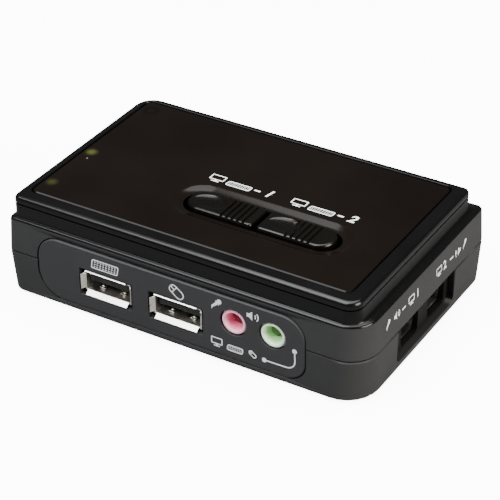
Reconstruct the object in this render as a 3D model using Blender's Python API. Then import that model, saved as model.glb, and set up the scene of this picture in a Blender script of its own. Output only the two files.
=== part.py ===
"""Two-port desktop KVM switch with audio: a pocket-sized box, built as its separate pieces.

Sizes are in millimetres and are turned into metres where a mesh is made.
+X runs right along the long front, -Y is the front with the console sockets, +Z is up.
The origin is under the middle of the whole object, on the surface it stands on.
"""

import bmesh
import bpy
from math import cos, pi, radians, sin, tan
from mathutils import Vector

MM = 0.001
GAP = 0.3
ARC_STEPS = 6

# Case
CASE_LENGTH = 97.6
CASE_DEPTH = 63.1
CASE_CORNERS = (2.0, 7.5, 2.0, 3.4)
WALL = 2.0
FOOT_PROUD = 0.7
SEAM_HEIGHT = 11.5
LEDGE_HEIGHT = 20.9
SHOULDER_HEIGHT = 24.35
TOP_HEIGHT = 26.6
LOWER_DRAFT = 0.3
UPPER_DRAFT = 0.5
BOTTOM_ROUND = 0.9
BOTTOM_CORNER_GROWTH = 1.3
LEDGE_ROUND = 0.8
LEDGE_RISE = 0.1
SEAM_BEVEL = 0.25

# Raised top: a glossy tray that holds the smoked panel
TRAY_INSET_FRONT = 1.45
TRAY_INSET_BACK = 3.3
TRAY_INSET_LEFT = 1.4
TRAY_INSET_RIGHT = 2.95
TRAY_CORNERS = (1.9, 3.6, 1.6, 5.3)
TRAY_ROUND = 1.15
TRAY_FOOT_BEVEL = 0.1
TRAY_FLOOR = 1.0
PAN_WALL = 1.2
PANEL_RIM_FRONT = 4.05
PANEL_RIM_BACK = 2.5
PANEL_RIM_LEFT = 2.65
PANEL_RIM_RIGHT = 3.95
PANEL_THICKNESS = 2.3
PANEL_CORNER = 1.6
PANEL_BEVEL = 0.25

# Select buttons and the dished well around them
WELL_CENTRE_X = 9.6
WELL_SET_BACK = 16.75
WELL_LENGTH = 41.9
WELL_WIDTH = 9.3
DISH_MARGIN = 3.1
DISH_DEPTH = 0.8
BUTTON_END_GAP = 1.3
BUTTON_SIDE_GAP = 0.45
BUTTON_SPACING = 1.3
BUTTON_PROUD = 0.3
BUTTON_ROUND = 0.6
BUTTON_TRAVEL = 0.6
BUTTON_FLANGE = 1.2
FLANGE_THICKNESS = 1.0
STEM_RADIUS = 2.2
RIB_COUNT = 6
RIB_PITCH = 1.5
RIB_WIDTH = 0.7
RIB_HEIGHT = 0.35
SCOOP_DEPTH = 0.45
SCOOP_REACH = (4.6, 3.1)
SCOOP_IN = 5.6
FLANGE_IN = 3.0
RIB_END = (1.0, 4.0)

# Circuit board and the pieces on it
BOARD_TOP = 6.4
BOARD_THICKNESS = 1.6
BOARD_MARGIN = 0.8
BOARD_CORNER = 4.0
SWITCH_SIDE = 6.0
SWITCH_HEIGHT = 3.5
PLUNGER_RADIUS = 1.7
PLUNGER_TOP = 5.0
PLUNGER_SEAT = 1.9

# Front socket plate
PLATE_LEFT = -39.7
PLATE_RIGHT = 33.9
PLATE_BOTTOM = 2.2
PLATE_TOP = 18.8
PLATE_THICKNESS = 1.6
PLATE_CORNERS = (7.0, 5.0, 6.0, 6.2)
TAB_REACH = 1.5
TAB_THICKNESS = 1.2
TAB_FROM_BOTTOM = 7.0
TAB_FROM_TOP = 5.0
PLATE_EDGE = 0.25

# USB-A sockets
USB_X = (-20.15, -0.55)
USB_CENTRE_HEIGHT = 9.5
USB_WIDTH = 13.1
USB_HEIGHT = 5.6
USB_LENGTH = 13.6
USB_SHEET = 0.35
USB_FLARE = 0.65
USB_TONGUE_WIDTH = 11.1
USB_TONGUE_THICKNESS = 1.85
USB_TONGUE_RECESS = 2.0
USB_TONGUE_DROP = 0.35
USB_BLOCK_DEPTH = 3.0
USB_FLARE_DEPTH = 0.45
USB_SLOT = 0.75
USB_PROUD = 0.15
USB_OPENING_CLEAR = 0.35

# Audio jacks
JACK_X = (15.1, 25.4)
JACK_CENTRE_HEIGHT = 12.3
JACK_NOSE_RADIUS = 3.25
JACK_BORE_RADIUS = 1.85
JACK_FUNNEL_RADIUS = 2.45
JACK_FUNNEL_DEPTH = 1.2
JACK_BODY_WIDTH = 8.6
JACK_BODY_LENGTH = 12.0
JACK_RECESS = 0.35
JACK_OPENING_CLEAR = 0.35
JACK_BACK_WALL = 1.5
JACK_EDGE = 0.25

# Side pocket with the two mini sockets
POCKET_LENGTH = 29.8
POCKET_CLEAR = 0.4
POCKET_BOTTOM = 2.1
POCKET_DEPTH = 2.0
POCKET_CORNER = 2.0
POCKET_WALL = 1.8
POCKET_END_WALL = 1.2
PORT_FROM_POCKET = (9.7, 23.5)
PORT_OPENING_WIDTH = 8.7
PORT_OPENING_BOTTOM = 2.7
PORT_OPENING_BEVEL = 0.9
MINI_TOP_WIDTH = 7.6
MINI_BOTTOM_WIDTH = 5.9
MINI_HEIGHT = 3.95
MINI_BOTTOM = 3.8
MINI_LENGTH = 9.2
MINI_SHEET = 0.35
MINI_SETBACK = 1.1
MINI_BLOCK_DEPTH = 2.5
MINI_TONGUE_WIDTH = 4.0
MINI_TONGUE_LOW = 1.3
MINI_TONGUE_HIGH = 0.35
MINI_TONGUE_RECESS = 1.2

# Rear video connectors
VIDEO_PITCH = 30.9
VIDEO_HEIGHT = 12.4
VIDEO_SET_IN = 4.05
FLANGE_WIDTH = 30.6
FLANGE_TALL = 12.1
FLANGE_SHEET = 0.8
D_WIDTH = 16.6
D_TALL = 8.2
D_SLANT = 10.0
D_CORNER = 2.2
D_SHEET = 0.5
D_REACH = 5.9
D_OPENING_CLEAR = 0.45
FLANGE_CLEAR = 0.1
FLANGE_CORNER = 1.0
D_FACE_SET_IN = 0.3
HOUSING_WIDTH = 29.8
HOUSING_DEPTH = 9.5
PIN_RADIUS = 0.55
PIN_PITCH = 2.29
PIN_ROW = 1.98
JACKSCREW_PITCH = 25.0
JACKSCREW_FLATS = 4.8
JACKSCREW_REACH = 4.8
JACKSCREW_SHANK = 1.3
JACKSCREW_THREAD = 1.3
JACKSCREW_CLEAR = 0.35
JACKSCREW_TAP_DEPTH = 3.2
JACKSCREW_SHANK_LENGTH = 4.0

# Fasteners and feet
SCREW_FRONT_X = (-37.5, 38.0)
SCREW_BACK_X = (-31.5, 31.5)
SCREW_FRONT_IN = 10.55
SCREW_SHARE = 0.4081
SCREW_BACK_IN = 19.35
SCREW_HEAD_RADIUS = 2.4
SCREW_HEAD_HEIGHT = 1.6
SCREW_SHANK_RADIUS = 1.2
SCREW_LENGTH = 11.0
SCREW_SINK = 0.4
SCREW_HEAD_STEP = 0.6
SCREW_POINT = 1.0
RECESS_LONG = 2.6
RECESS_WIDE = 0.6
RECESS_DEEP = 1.0
POST_RADIUS = 3.8
BOSS_RADIUS = 2.8
FOOT_X = 30.0
FOOT_IN = 7.05
FOOT_RADIUS = 4.0
FOOT_SUNK = 0.6
FOOT_BEVEL = 0.3

# Indicator lights
LIGHT_IN = 2.15
LIGHT_FROM_FRONT = (5.75, 22.45)
LIGHT_PIPE_RADIUS = 1.0
LED_SIZE = (2.0, 1.6, 0.9)

# Pieces on the board
CONTROLLER_SPOT = (-16.0, 3.0)
CONTROLLER_SIZE = (12.0, 12.0, 1.4)
VIDEO_CHIP_SPOT = (10.0, 6.0)
VIDEO_CHIP_SIZE = (10.0, 6.0, 1.2)
CHIP_BEVEL = 0.15
CRYSTAL_SPOT = (-32.0, -1.0)
CRYSTAL_LENGTH = 11.0
CRYSTAL_WIDTH = 4.6
CRYSTAL_HEIGHT = 3.5
CRYSTAL_STEP = 0.3
CAPACITOR_X = (-8.0, 30.0)
CAPACITOR_CLEAR = 1.1
CAPACITOR_BEHIND_WELL = 1.3
CAPACITOR_RADIUS = 2.5
CAPACITOR_HEIGHT = 7.1
CAPACITOR_STEP = 0.3

# Worked out from the sizes above
HALF_LENGTH = CASE_LENGTH / 2
HALF_DEPTH = CASE_DEPTH / 2
BASE = FOOT_PROUD
SEAM = BASE + SEAM_HEIGHT
LEDGE = BASE + LEDGE_HEIGHT
TOP = BASE + TOP_HEIGHT
BOARD_Z = BASE + BOARD_TOP
FRONT_FACE = -HALF_DEPTH
SHOULDER = BASE + SHOULDER_HEIGHT
TRAY_BASE = SHOULDER + GAP
PANEL_BASE = TOP - PANEL_THICKNESS
PAN_TOP = PANEL_BASE - GAP
PAN_LOW = PAN_TOP - TRAY_FLOOR
VIDEO_FLANGE_FACE = HALF_DEPTH - VIDEO_SET_IN
USB_FRONT = FRONT_FACE - USB_PROUD
CASE_SHIFT_Y = -(VIDEO_FLANGE_FACE + D_REACH + USB_FRONT) / 2
TRAY_BOX = (
    -HALF_LENGTH + TRAY_INSET_LEFT,
    HALF_LENGTH - TRAY_INSET_RIGHT,
    -HALF_DEPTH + TRAY_INSET_FRONT,
    HALF_DEPTH - TRAY_INSET_BACK,
)
PANEL_BOX = (
    TRAY_BOX[0] + PANEL_RIM_LEFT,
    TRAY_BOX[1] - PANEL_RIM_RIGHT,
    TRAY_BOX[2] + PANEL_RIM_FRONT,
    TRAY_BOX[3] - PANEL_RIM_BACK,
)

WELL_CENTRE_Y = PANEL_BOX[2] + WELL_SET_BACK
LIGHT_SPOTS = [(PANEL_BOX[0] + LIGHT_IN, PANEL_BOX[2] + reach) for reach in LIGHT_FROM_FRONT]
HOUSING_FRONT = VIDEO_FLANGE_FACE - FLANGE_SHEET - GAP
HOUSING_BACK = HOUSING_FRONT - HOUSING_DEPTH
POCKET_BACK = HOUSING_BACK - POCKET_CLEAR - POCKET_END_WALL
POCKET_FRONT = POCKET_BACK - POCKET_LENGTH
PORT_Y = [POCKET_FRONT + reach for reach in PORT_FROM_POCKET]
WALL_INSIDE = FRONT_FACE + WALL
PORT_EDGE = PORT_Y[0] - MINI_TOP_WIDTH / 2
SCREW_SPOTS = [
    (SCREW_FRONT_X[0], FRONT_FACE + SCREW_FRONT_IN),
    (SCREW_FRONT_X[1], WALL_INSIDE + SCREW_SHARE * (PORT_EDGE - WALL_INSIDE)),
    (SCREW_BACK_X[0], HALF_DEPTH - SCREW_BACK_IN),
    (SCREW_BACK_X[1], HALF_DEPTH - SCREW_BACK_IN),
]
FOOT_SPOTS = [
    (x, y) for y in (FRONT_FACE + FOOT_IN, HALF_DEPTH - FOOT_IN) for x in (-FOOT_X, FOOT_X)
]
USB_BACK = USB_FRONT + USB_LENGTH
CAPACITOR_SPOTS = (
    (CAPACITOR_X[0], USB_BACK + CAPACITOR_CLEAR + CAPACITOR_RADIUS),
    (CAPACITOR_X[1], WELL_CENTRE_Y + CAPACITOR_BEHIND_WELL),
)

STAND = None


# ---------------------------------------------------------------- helpers


def clear_scene():
    for item in list(bpy.data.objects):
        bpy.data.objects.remove(item, do_unlink=True)


def make_material(name, colour, roughness, metallic=0.0):
    material = bpy.data.materials.new(name)
    material.use_nodes = True
    shader = material.node_tree.nodes["Principled BSDF"]
    shader.inputs["Base Color"].default_value = (*colour, 1.0)
    shader.inputs["Roughness"].default_value = roughness
    shader.inputs["Metallic"].default_value = metallic
    material.diffuse_color = (*colour, 1.0)
    return material


def corner_arc(centre_u, centre_v, radius, start, steps):
    """Points round one corner, from the start angle through a quarter turn."""
    return [
        (
            centre_u + radius * cos(radians(start + 90 * step / steps)),
            centre_v + radius * sin(radians(start + 90 * step / steps)),
        )
        for step in range(steps + 1)
    ]


def rounded_outline(box, radii, steps=ARC_STEPS):
    """A rounded rectangle, anticlockwise; radii are low-left, low-right, high-right, high-left."""
    low_u, high_u, low_v, high_v = box
    if not isinstance(radii, tuple):
        radii = (radii,) * 4
    low_left, low_right, high_right, high_left = radii
    return (
        corner_arc(low_u + low_left, low_v + low_left, low_left, 180, steps)
        + corner_arc(high_u - low_right, low_v + low_right, low_right, 270, steps)
        + corner_arc(high_u - high_right, high_v - high_right, high_right, 0, steps)
        + corner_arc(low_u + high_left, high_v - high_left, high_left, 90, steps)
    )


def circle_outline(centre, radius, count=24, turn=0.0):
    return [
        (
            centre[0] + radius * cos(turn + 2 * pi * step / count),
            centre[1] + radius * sin(turn + 2 * pi * step / count),
        )
        for step in range(count)
    ]


def obround_outline(centre, length, width, steps=10):
    """A slot with half-round ends, long along the first axis."""
    radius = width / 2
    reach = length / 2 - radius
    right = [
        (
            centre[0] + reach + radius * cos(radians(-90 + 180 * step / steps)),
            centre[1] + radius * sin(radians(-90 + 180 * step / steps)),
        )
        for step in range(steps + 1)
    ]
    left = [(2 * centre[0] - u, 2 * centre[1] - v) for u, v in right]
    return right + left


def placed(u, v, level, axis):
    """A point of an outline drawn across the given axis, at a level along it."""
    return {
        "X": (level, u, v),
        "Y": (u, level, v),
        "Z": (u, v, level),
    }[axis]


def add_loop(bm, outline, level, axis="Z"):
    corners = [bm.verts.new(placed(u, v, level, axis)) for u, v in outline]
    return [bm.edges.new(pair) for pair in zip(corners, corners[1:] + corners[:1])]


def close_loop(bm, edges):
    bmesh.ops.contextual_create(bm, geom=edges)


def finish(name, bm, material=None, pivot=(0.0, 0.0, 0.0), smooth=30.0):
    """Turns a bmesh in millimetres into an object in metres, with its origin at the pivot."""
    bmesh.ops.recalc_face_normals(bm, faces=bm.faces[:])
    bmesh.ops.translate(bm, verts=bm.verts[:], vec=-Vector(pivot))
    bmesh.ops.scale(bm, verts=bm.verts[:], vec=(MM, MM, MM))
    mesh = bpy.data.meshes.new(name)
    bm.to_mesh(mesh)
    bm.free()
    item = bpy.data.objects.new(name, mesh)
    item.location = Vector(pivot) * MM
    bpy.context.scene.collection.objects.link(item)
    item.parent = STAND
    mesh.shade_smooth()
    mesh.set_sharp_from_angle(angle=radians(smooth))
    if material:
        mesh.materials.append(material)
    else:
        item.hide_render = True
        item.display_type = "WIRE"
    return item


def loft(name, stages, material=None, axis="Z", ring=False, pivot=(0.0, 0.0, 0.0)):
    """A skin over outlines with equal counts; stages are (outline, level). A ring has no caps."""
    bm = bmesh.new()
    loops = [add_loop(bm, outline, level, axis) for outline, level in stages]
    for first, second in zip(loops, loops[1:]):
        bmesh.ops.bridge_loops(bm, edges=first + second)
    if ring:
        bmesh.ops.bridge_loops(bm, edges=loops[-1] + loops[0])
    else:
        close_loop(bm, loops[0])
        close_loop(bm, loops[-1])
    return finish(name, bm, material, pivot)


def prism(name, outline, low, high, material=None, axis="Z", pivot=(0.0, 0.0, 0.0)):
    return loft(name, [(outline, low), (outline, high)], material, axis, False, pivot)


def block(name, low, high, material=None, bevel=0.0, pivot=(0.0, 0.0, 0.0)):
    """A box between two corners, with optional bevelled edges."""
    bm = bmesh.new()
    bmesh.ops.create_cube(bm, size=1.0)
    span = [b - a for a, b in zip(low, high)]
    middle = [(a + b) / 2 for a, b in zip(low, high)]
    bmesh.ops.scale(bm, verts=bm.verts[:], vec=span)
    bmesh.ops.translate(bm, verts=bm.verts[:], vec=middle)
    if bevel:
        bmesh.ops.bevel(
            bm,
            geom=bm.edges[:],
            offset=bevel,
            segments=1,
            profile=0.5,
            affect="EDGES",
            material=-1,
        )
    return finish(name, bm, material, pivot)


def combine(target, tool, operation):
    modifier = target.modifiers.new(operation.lower() + "_" + tool.name, "BOOLEAN")
    modifier.operation = operation
    modifier.solver = "EXACT"
    modifier.object = tool
    return target


def cut(target, tool):
    return combine(target, tool, "DIFFERENCE")


def join(target, tool):
    return combine(target, tool, "UNION")


def box_outline(box, inset, corners, least=0.3):
    """A rounded rectangle drawn in by an inset; corners are one radius or four."""
    low_u, high_u, low_v, high_v = box
    inner = (low_u + inset, high_u - inset, low_v + inset, high_v - inset)
    if not isinstance(corners, tuple):
        corners = (corners,) * 4
    return rounded_outline(inner, tuple(max(radius - inset, least) for radius in corners))


def case_outline(inset, growth=0.0):
    """The case in plan, drawn in by an inset; growth rounds its corners more."""
    box = (-HALF_LENGTH, HALF_LENGTH, -HALF_DEPTH, HALF_DEPTH)
    return box_outline(box, inset, tuple(radius + growth for radius in CASE_CORNERS), 0.5)


def d_outline(centre_u, centre_v, width, tall, corner, flip=1):
    """The D shape of a video connector: a rounded trapezoid, wide at the top."""
    lean = tall / 2 * tan(radians(D_SLANT))
    wide = width / 2
    narrow = wide - 2 * lean
    points = []
    corners = ((-narrow, -1), (narrow, -1), (wide, 1), (-wide, 1))
    for index, (reach, side) in enumerate(corners):
        before = corners[index - 1]
        after = corners[(index + 1) % 4]
        spot = Vector((reach, side * tall / 2))
        back = Vector((before[0], before[1] * tall / 2)) - spot
        ahead = Vector((after[0], after[1] * tall / 2)) - spot
        start = spot + back.normalized() * corner
        end = spot + ahead.normalized() * corner
        for step in range(4):
            t = step / 3
            curve = start * (1 - t) ** 2 + spot * 2 * t * (1 - t) + end * t**2
            points.append((centre_u + flip * curve.x, centre_v + curve.y))
    return points


# ---------------------------------------------------------------- shared cutters


def plate_outline(grow=0.0):
    box = (
        PLATE_LEFT - grow,
        PLATE_RIGHT + grow,
        BASE + PLATE_BOTTOM - grow,
        BASE + PLATE_TOP + grow,
    )
    return rounded_outline(box, tuple(radius + grow for radius in PLATE_CORNERS), 8)


def plate_opening(name):
    return prism(name, plate_outline(GAP), FRONT_FACE - 2, FRONT_FACE + WALL + 1.6, axis="Y")


def video_centres():
    return [step * VIDEO_PITCH for step in (-1, 0, 1)]


def rear_openings(prefix):
    """Holes through the rear wall for three D shells, and slots for their six jackscrews."""
    tools = []
    near, far = HALF_DEPTH - WALL - 2, HALF_DEPTH + 2
    centre_z = BASE + VIDEO_HEIGHT
    centres = video_centres()
    for index, centre in enumerate(centres):
        grow = 2 * D_OPENING_CLEAR
        shape = d_outline(centre, centre_z, D_WIDTH + grow, D_TALL + grow, D_CORNER + 0.4)
        tools.append(prism(f"{prefix}_d_{index}", shape, near, far, axis="Y"))
    radius = JACKSCREW_FLATS / 2 / cos(pi / 6) + JACKSCREW_CLEAR
    ends = [centres[0] - JACKSCREW_PITCH / 2]
    for centre in centres:
        ends += [centre - JACKSCREW_PITCH / 2, centre + JACKSCREW_PITCH / 2]
    ends.append(ends[-1])
    for index, (low, high) in enumerate(zip(ends[::2], ends[1::2])):
        slot = obround_outline(
            ((low + high) / 2, centre_z), abs(high - low) + 2 * radius + 0.02, 2 * radius
        )
        tools.append(prism(f"{prefix}_slot_{index}", slot, near, far, axis="Y"))
    return tools


def flange_relief(name):
    """Room for the row of flanges between the end walls, however thick those are."""
    reach = VIDEO_PITCH + FLANGE_WIDTH / 2 + FLANGE_CLEAR
    half = FLANGE_TALL / 2 + FLANGE_CLEAR
    centre_z = BASE + VIDEO_HEIGHT
    return block(
        name,
        (-reach, HOUSING_FRONT, centre_z - half),
        (reach, VIDEO_FLANGE_FACE + FLANGE_CLEAR, centre_z + half),
    )


# ---------------------------------------------------------------- case


def build_lower_shell(material):
    seam_edge = SEAM - GAP / 2
    growth = BOTTOM_CORNER_GROWTH
    stages = [
        (case_outline(LOWER_DRAFT + BOTTOM_ROUND, growth), BASE),
        (case_outline(LOWER_DRAFT + BOTTOM_ROUND * 0.5, growth), BASE + BOTTOM_ROUND * 0.134),
        (case_outline(LOWER_DRAFT + BOTTOM_ROUND * 0.134, growth), BASE + BOTTOM_ROUND * 0.5),
        (case_outline(LOWER_DRAFT, growth), BASE + BOTTOM_ROUND),
        (case_outline(0.0), seam_edge - SEAM_BEVEL),
        (case_outline(SEAM_BEVEL), seam_edge),
    ]
    shell = loft("lower_shell", stages, material)
    cavity = [
        (case_outline(WALL + LOWER_DRAFT), BASE + WALL),
        (case_outline(WALL), SEAM + 1),
    ]
    cut(shell, loft("lower_cavity", cavity))
    inner_face = HALF_LENGTH - POCKET_DEPTH - POCKET_WALL
    pocket_back = block(
        "pocket_back",
        (inner_face, POCKET_FRONT - POCKET_END_WALL, BASE + WALL / 2),
        (HALF_LENGTH - WALL / 2, POCKET_BACK + POCKET_END_WALL, seam_edge),
    )
    join(shell, pocket_back)
    pocket = rounded_outline(
        (POCKET_FRONT, POCKET_BACK, BASE + POCKET_BOTTOM, SEAM + 4),
        (POCKET_CORNER, POCKET_CORNER, 0.5, 0.5),
    )
    cut(shell, prism("pocket_space", pocket, HALF_LENGTH - POCKET_DEPTH, HALF_LENGTH + 2, axis="X"))
    for index, centre in enumerate(PORT_Y):
        cut(shell, port_opening(f"port_opening_{index + 1}", centre))
    for x, y in SCREW_SPOTS:
        add_lower_post(shell, x, y)
    for index, (x, y) in enumerate(FOOT_SPOTS):
        recess = circle_outline((x, y), FOOT_RADIUS + GAP)
        cut(shell, prism(f"foot_recess_{index}", recess, BASE - 1, BASE + FOOT_SUNK + GAP))
    cut(shell, plate_opening("lower_plate_opening"))
    for tool in rear_openings("lower") + [flange_relief("lower_flange_relief")]:
        cut(shell, tool)
    return shell


def port_opening(name, centre):
    """A socket opening in the pocket wall, open at the top so the board drops in."""
    half = PORT_OPENING_WIDTH / 2
    low = BASE + PORT_OPENING_BOTTOM
    outline = [
        (centre - half + PORT_OPENING_BEVEL, low),
        (centre + half - PORT_OPENING_BEVEL, low),
        (centre + half, low + PORT_OPENING_BEVEL),
        (centre + half, SEAM + 3),
        (centre - half, SEAM + 3),
        (centre - half, low + PORT_OPENING_BEVEL),
    ]
    return prism(name, outline, HALF_LENGTH - POCKET_DEPTH - POCKET_WALL - 1, HALF_LENGTH + 1, axis="X")


def add_lower_post(shell, x, y):
    """A post that holds the board up, bored for a case screw."""
    top = BOARD_Z - BOARD_THICKNESS - GAP
    tag = f"{x:.0f}_{y:.0f}"
    post = circle_outline((x, y), POST_RADIUS)
    join(shell, prism(f"post_{tag}", post, BASE + 0.5, top))
    head = circle_outline((x, y), SCREW_HEAD_RADIUS + GAP)
    sink = BASE + SCREW_SINK + SCREW_HEAD_HEIGHT + GAP
    cut(shell, prism(f"head_bore_{tag}", head, BASE - 1, sink))
    shank = circle_outline((x, y), SCREW_SHANK_RADIUS + GAP, 16)
    cut(shell, prism(f"shank_bore_{tag}", shank, BASE, top + 1))


def build_upper_shell(material):
    seam_edge = SEAM + GAP / 2
    edge_inset = UPPER_DRAFT
    stages = [
        (case_outline(SEAM_BEVEL), seam_edge),
        (case_outline(0.0), seam_edge + SEAM_BEVEL),
        (case_outline(edge_inset), LEDGE - LEDGE_ROUND),
    ]
    for step in (1, 2, 3, 4):
        turn = radians(90 * step / 4)
        stages.append(
            (
                case_outline(edge_inset + LEDGE_ROUND * (1 - cos(turn))),
                LEDGE - LEDGE_ROUND * (1 - sin(turn)),
            )
        )
    stages.append((box_outline(TRAY_BOX, 0.0, TRAY_CORNERS), LEDGE + LEDGE_RISE))
    stages.append((box_outline(TRAY_BOX, 0.0, TRAY_CORNERS), SHOULDER))
    shell = loft("upper_shell", stages, material)
    cavity = [
        (case_outline(WALL), SEAM - 1),
        (case_outline(WALL + UPPER_DRAFT), LEDGE - WALL),
    ]
    cut(shell, loft("upper_cavity", cavity))
    mouth = box_outline(PANEL_BOX, -PAN_WALL - GAP, PANEL_CORNER)
    cut(shell, prism("shell_mouth", mouth, LEDGE - WALL - 1, SHOULDER + 1))
    for index, spot in enumerate(SCREW_SPOTS):
        passage = circle_outline(spot, BOSS_RADIUS + GAP, 20)
        cut(shell, prism(f"boss_passage_{index}", passage, LEDGE - WALL - 1, SHOULDER + 1))
    add_port_tabs(shell)
    cut(shell, plate_opening("upper_plate_opening"))
    for tool in rear_openings("upper") + [flange_relief("upper_flange_relief")]:
        cut(shell, tool)
    return shell


def add_port_tabs(shell):
    """Tabs that hang into the pocket openings and close them above the mini sockets."""
    half = PORT_OPENING_WIDTH / 2 - GAP
    outer = HALF_LENGTH - POCKET_DEPTH - GAP
    inner = HALF_LENGTH - POCKET_DEPTH - POCKET_WALL + GAP / 2
    low = BASE + MINI_BOTTOM + MINI_HEIGHT + GAP
    high = SEAM + 4
    outline = [
        (inner, low),
        (outer, low),
        (outer, SEAM + GAP),
        (HALF_LENGTH - WALL / 2, SEAM + GAP),
        (HALF_LENGTH - WALL / 2, high),
        (inner, high),
    ]
    for index, centre in enumerate(PORT_Y):
        join(shell, prism(f"port_tab_{index}", outline, centre - half, centre + half, axis="Y"))


def build_tray(material):
    """The raised glossy frame: a tray with a rim, a floor and four screw bosses."""
    stages = [
        (box_outline(TRAY_BOX, TRAY_FOOT_BEVEL, TRAY_CORNERS), TRAY_BASE),
        (box_outline(TRAY_BOX, 0.0, TRAY_CORNERS), TRAY_BASE + TRAY_FOOT_BEVEL),
        (box_outline(TRAY_BOX, 0.0, TRAY_CORNERS), TOP - TRAY_ROUND),
    ]
    for step in (1, 2, 3, 4):
        turn = radians(90 * step / 4)
        stages.append(
            (
                box_outline(TRAY_BOX, TRAY_ROUND * (1 - cos(turn)), TRAY_CORNERS),
                TOP - TRAY_ROUND * (1 - sin(turn)),
            )
        )
    tray = loft("top_tray", stages, material)
    pan = box_outline(PANEL_BOX, -PAN_WALL, PANEL_CORNER)
    join(tray, prism("tray_pan", pan, PAN_LOW, TRAY_BASE + GAP))
    recess = [
        (box_outline(PANEL_BOX, -GAP, PANEL_CORNER), PAN_TOP),
        (box_outline(PANEL_BOX, -GAP, PANEL_CORNER), TOP - PANEL_BEVEL),
        (box_outline(PANEL_BOX, -GAP - 2 * PANEL_BEVEL, PANEL_CORNER), TOP + PANEL_BEVEL),
    ]
    cut(tray, loft("panel_recess", recess))
    well = obround_outline((WELL_CENTRE_X, WELL_CENTRE_Y), WELL_LENGTH, WELL_WIDTH)
    cut(tray, prism("tray_well", well, PAN_LOW - 1, PAN_TOP + 1))
    for index, spot in enumerate(LIGHT_SPOTS):
        hole = circle_outline(spot, LIGHT_PIPE_RADIUS + GAP, 16)
        cut(tray, prism(f"tray_light_{index}", hole, PAN_LOW - 1, PAN_TOP + 1))
    for index, (x, y) in enumerate(SCREW_SPOTS):
        boss = circle_outline((x, y), BOSS_RADIUS, 20)
        join(tray, prism(f"tray_boss_{index}", boss, BOARD_Z + GAP, PAN_LOW + TRAY_FLOOR / 2))
        bore = circle_outline((x, y), SCREW_SHANK_RADIUS + GAP, 16)
        depth = BASE + SCREW_SINK + SCREW_HEAD_HEIGHT + SCREW_LENGTH + 1
        cut(tray, prism(f"tray_bore_{index}", bore, BOARD_Z - 1, depth))
    return tray


def build_panel(material):
    """The smoked panel, with a dished well round the buttons' opening."""
    stages = [
        (box_outline(PANEL_BOX, 0.0, PANEL_CORNER), PANEL_BASE),
        (box_outline(PANEL_BOX, 0.0, PANEL_CORNER), TOP - PANEL_BEVEL),
        (box_outline(PANEL_BOX, PANEL_BEVEL, PANEL_CORNER), TOP),
    ]
    panel = loft("smoked_panel", stages, material)
    centre = (WELL_CENTRE_X, WELL_CENTRE_Y)
    dish = []
    for step in range(5):
        part = step / 4
        margin = DISH_MARGIN * (1 - part)
        outline = obround_outline(centre, WELL_LENGTH + 2 * margin, WELL_WIDTH + 2 * margin)
        dish.append((outline, TOP - DISH_DEPTH * sin(part * pi / 2)))
    rim = obround_outline(centre, WELL_LENGTH + 2.3 * DISH_MARGIN, WELL_WIDTH + 2.3 * DISH_MARGIN)
    dish.insert(0, (rim, TOP + 1))
    cut(panel, loft("panel_dish", dish))
    well = obround_outline(centre, WELL_LENGTH, WELL_WIDTH)
    cut(panel, prism("panel_well", well, PANEL_BASE - 1, TOP + 1))
    return panel


# ---------------------------------------------------------------- buttons


def button_span():
    """The low and high x of each cap."""
    low = WELL_CENTRE_X - WELL_LENGTH / 2 + BUTTON_END_GAP
    high = WELL_CENTRE_X + WELL_LENGTH / 2 - BUTTON_END_GAP
    middle = (low + high) / 2
    half = BUTTON_SPACING / 2
    return (low, middle - half), (middle + half, high)


def cap_outline(index, inset, grow_y=0.0):
    """A cap with one half-round end and one square end with small corners."""
    low, high = button_span()[index]
    half = WELL_WIDTH / 2 - BUTTON_SIDE_GAP - inset + grow_y
    box = (low + inset, high - inset, WELL_CENTRE_Y - half, WELL_CENTRE_Y + half)
    end = half - 0.05
    square = max(1.0 - inset, 0.3)
    radii = (end, square, square, end) if index == 0 else (square, end, end, square)
    return rounded_outline(box, radii, 6)


def build_button(index, material):
    low, high = button_span()[index]
    middle = (low + high) / 2
    top = TOP + BUTTON_PROUD
    flange_top = PAN_LOW - GAP
    flange_low = flange_top - FLANGE_THICKNESS
    pivot = (middle, WELL_CENTRE_Y, flange_low)
    stages = [(cap_outline(index, 0.0), flange_low), (cap_outline(index, 0.0), top - BUTTON_ROUND)]
    for step in (1, 2, 3):
        turn = radians(90 * step / 3)
        inset = BUTTON_ROUND * (1 - cos(turn))
        stages.append((cap_outline(index, inset), top - BUTTON_ROUND * (1 - sin(turn))))
    name = f"select_button_{index + 1}"
    button = loft(name, stages, material, pivot=pivot)
    flange = block(
        name + "_flange",
        (low + FLANGE_IN, WELL_CENTRE_Y - WELL_WIDTH / 2 - BUTTON_FLANGE, flange_low),
        (high - FLANGE_IN, WELL_CENTRE_Y + WELL_WIDTH / 2 + BUTTON_FLANGE, flange_top),
    )
    join(button, flange)
    stem = circle_outline((middle, WELL_CENTRE_Y), STEM_RADIUS, 20)
    stem_low = BOARD_Z + PLUNGER_TOP + GAP
    join(button, prism(name + "_stem", stem, stem_low, flange_low + 0.5))
    cut(button, scoop(name + "_scoop", low, top))
    rib_start = high - RIB_END[index] - (RIB_COUNT - 1) * RIB_PITCH - RIB_WIDTH
    for step in range(RIB_COUNT - 1):
        groove_low = rib_start + RIB_WIDTH + step * RIB_PITCH
        half = WELL_WIDTH / 2 + 1
        groove = block(
            f"{name}_groove_{step}",
            (groove_low, WELL_CENTRE_Y - half, top - RIB_HEIGHT),
            (groove_low + RIB_PITCH - RIB_WIDTH, WELL_CENTRE_Y + half, top + 1),
        )
        cut(button, groove)
    return button


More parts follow.
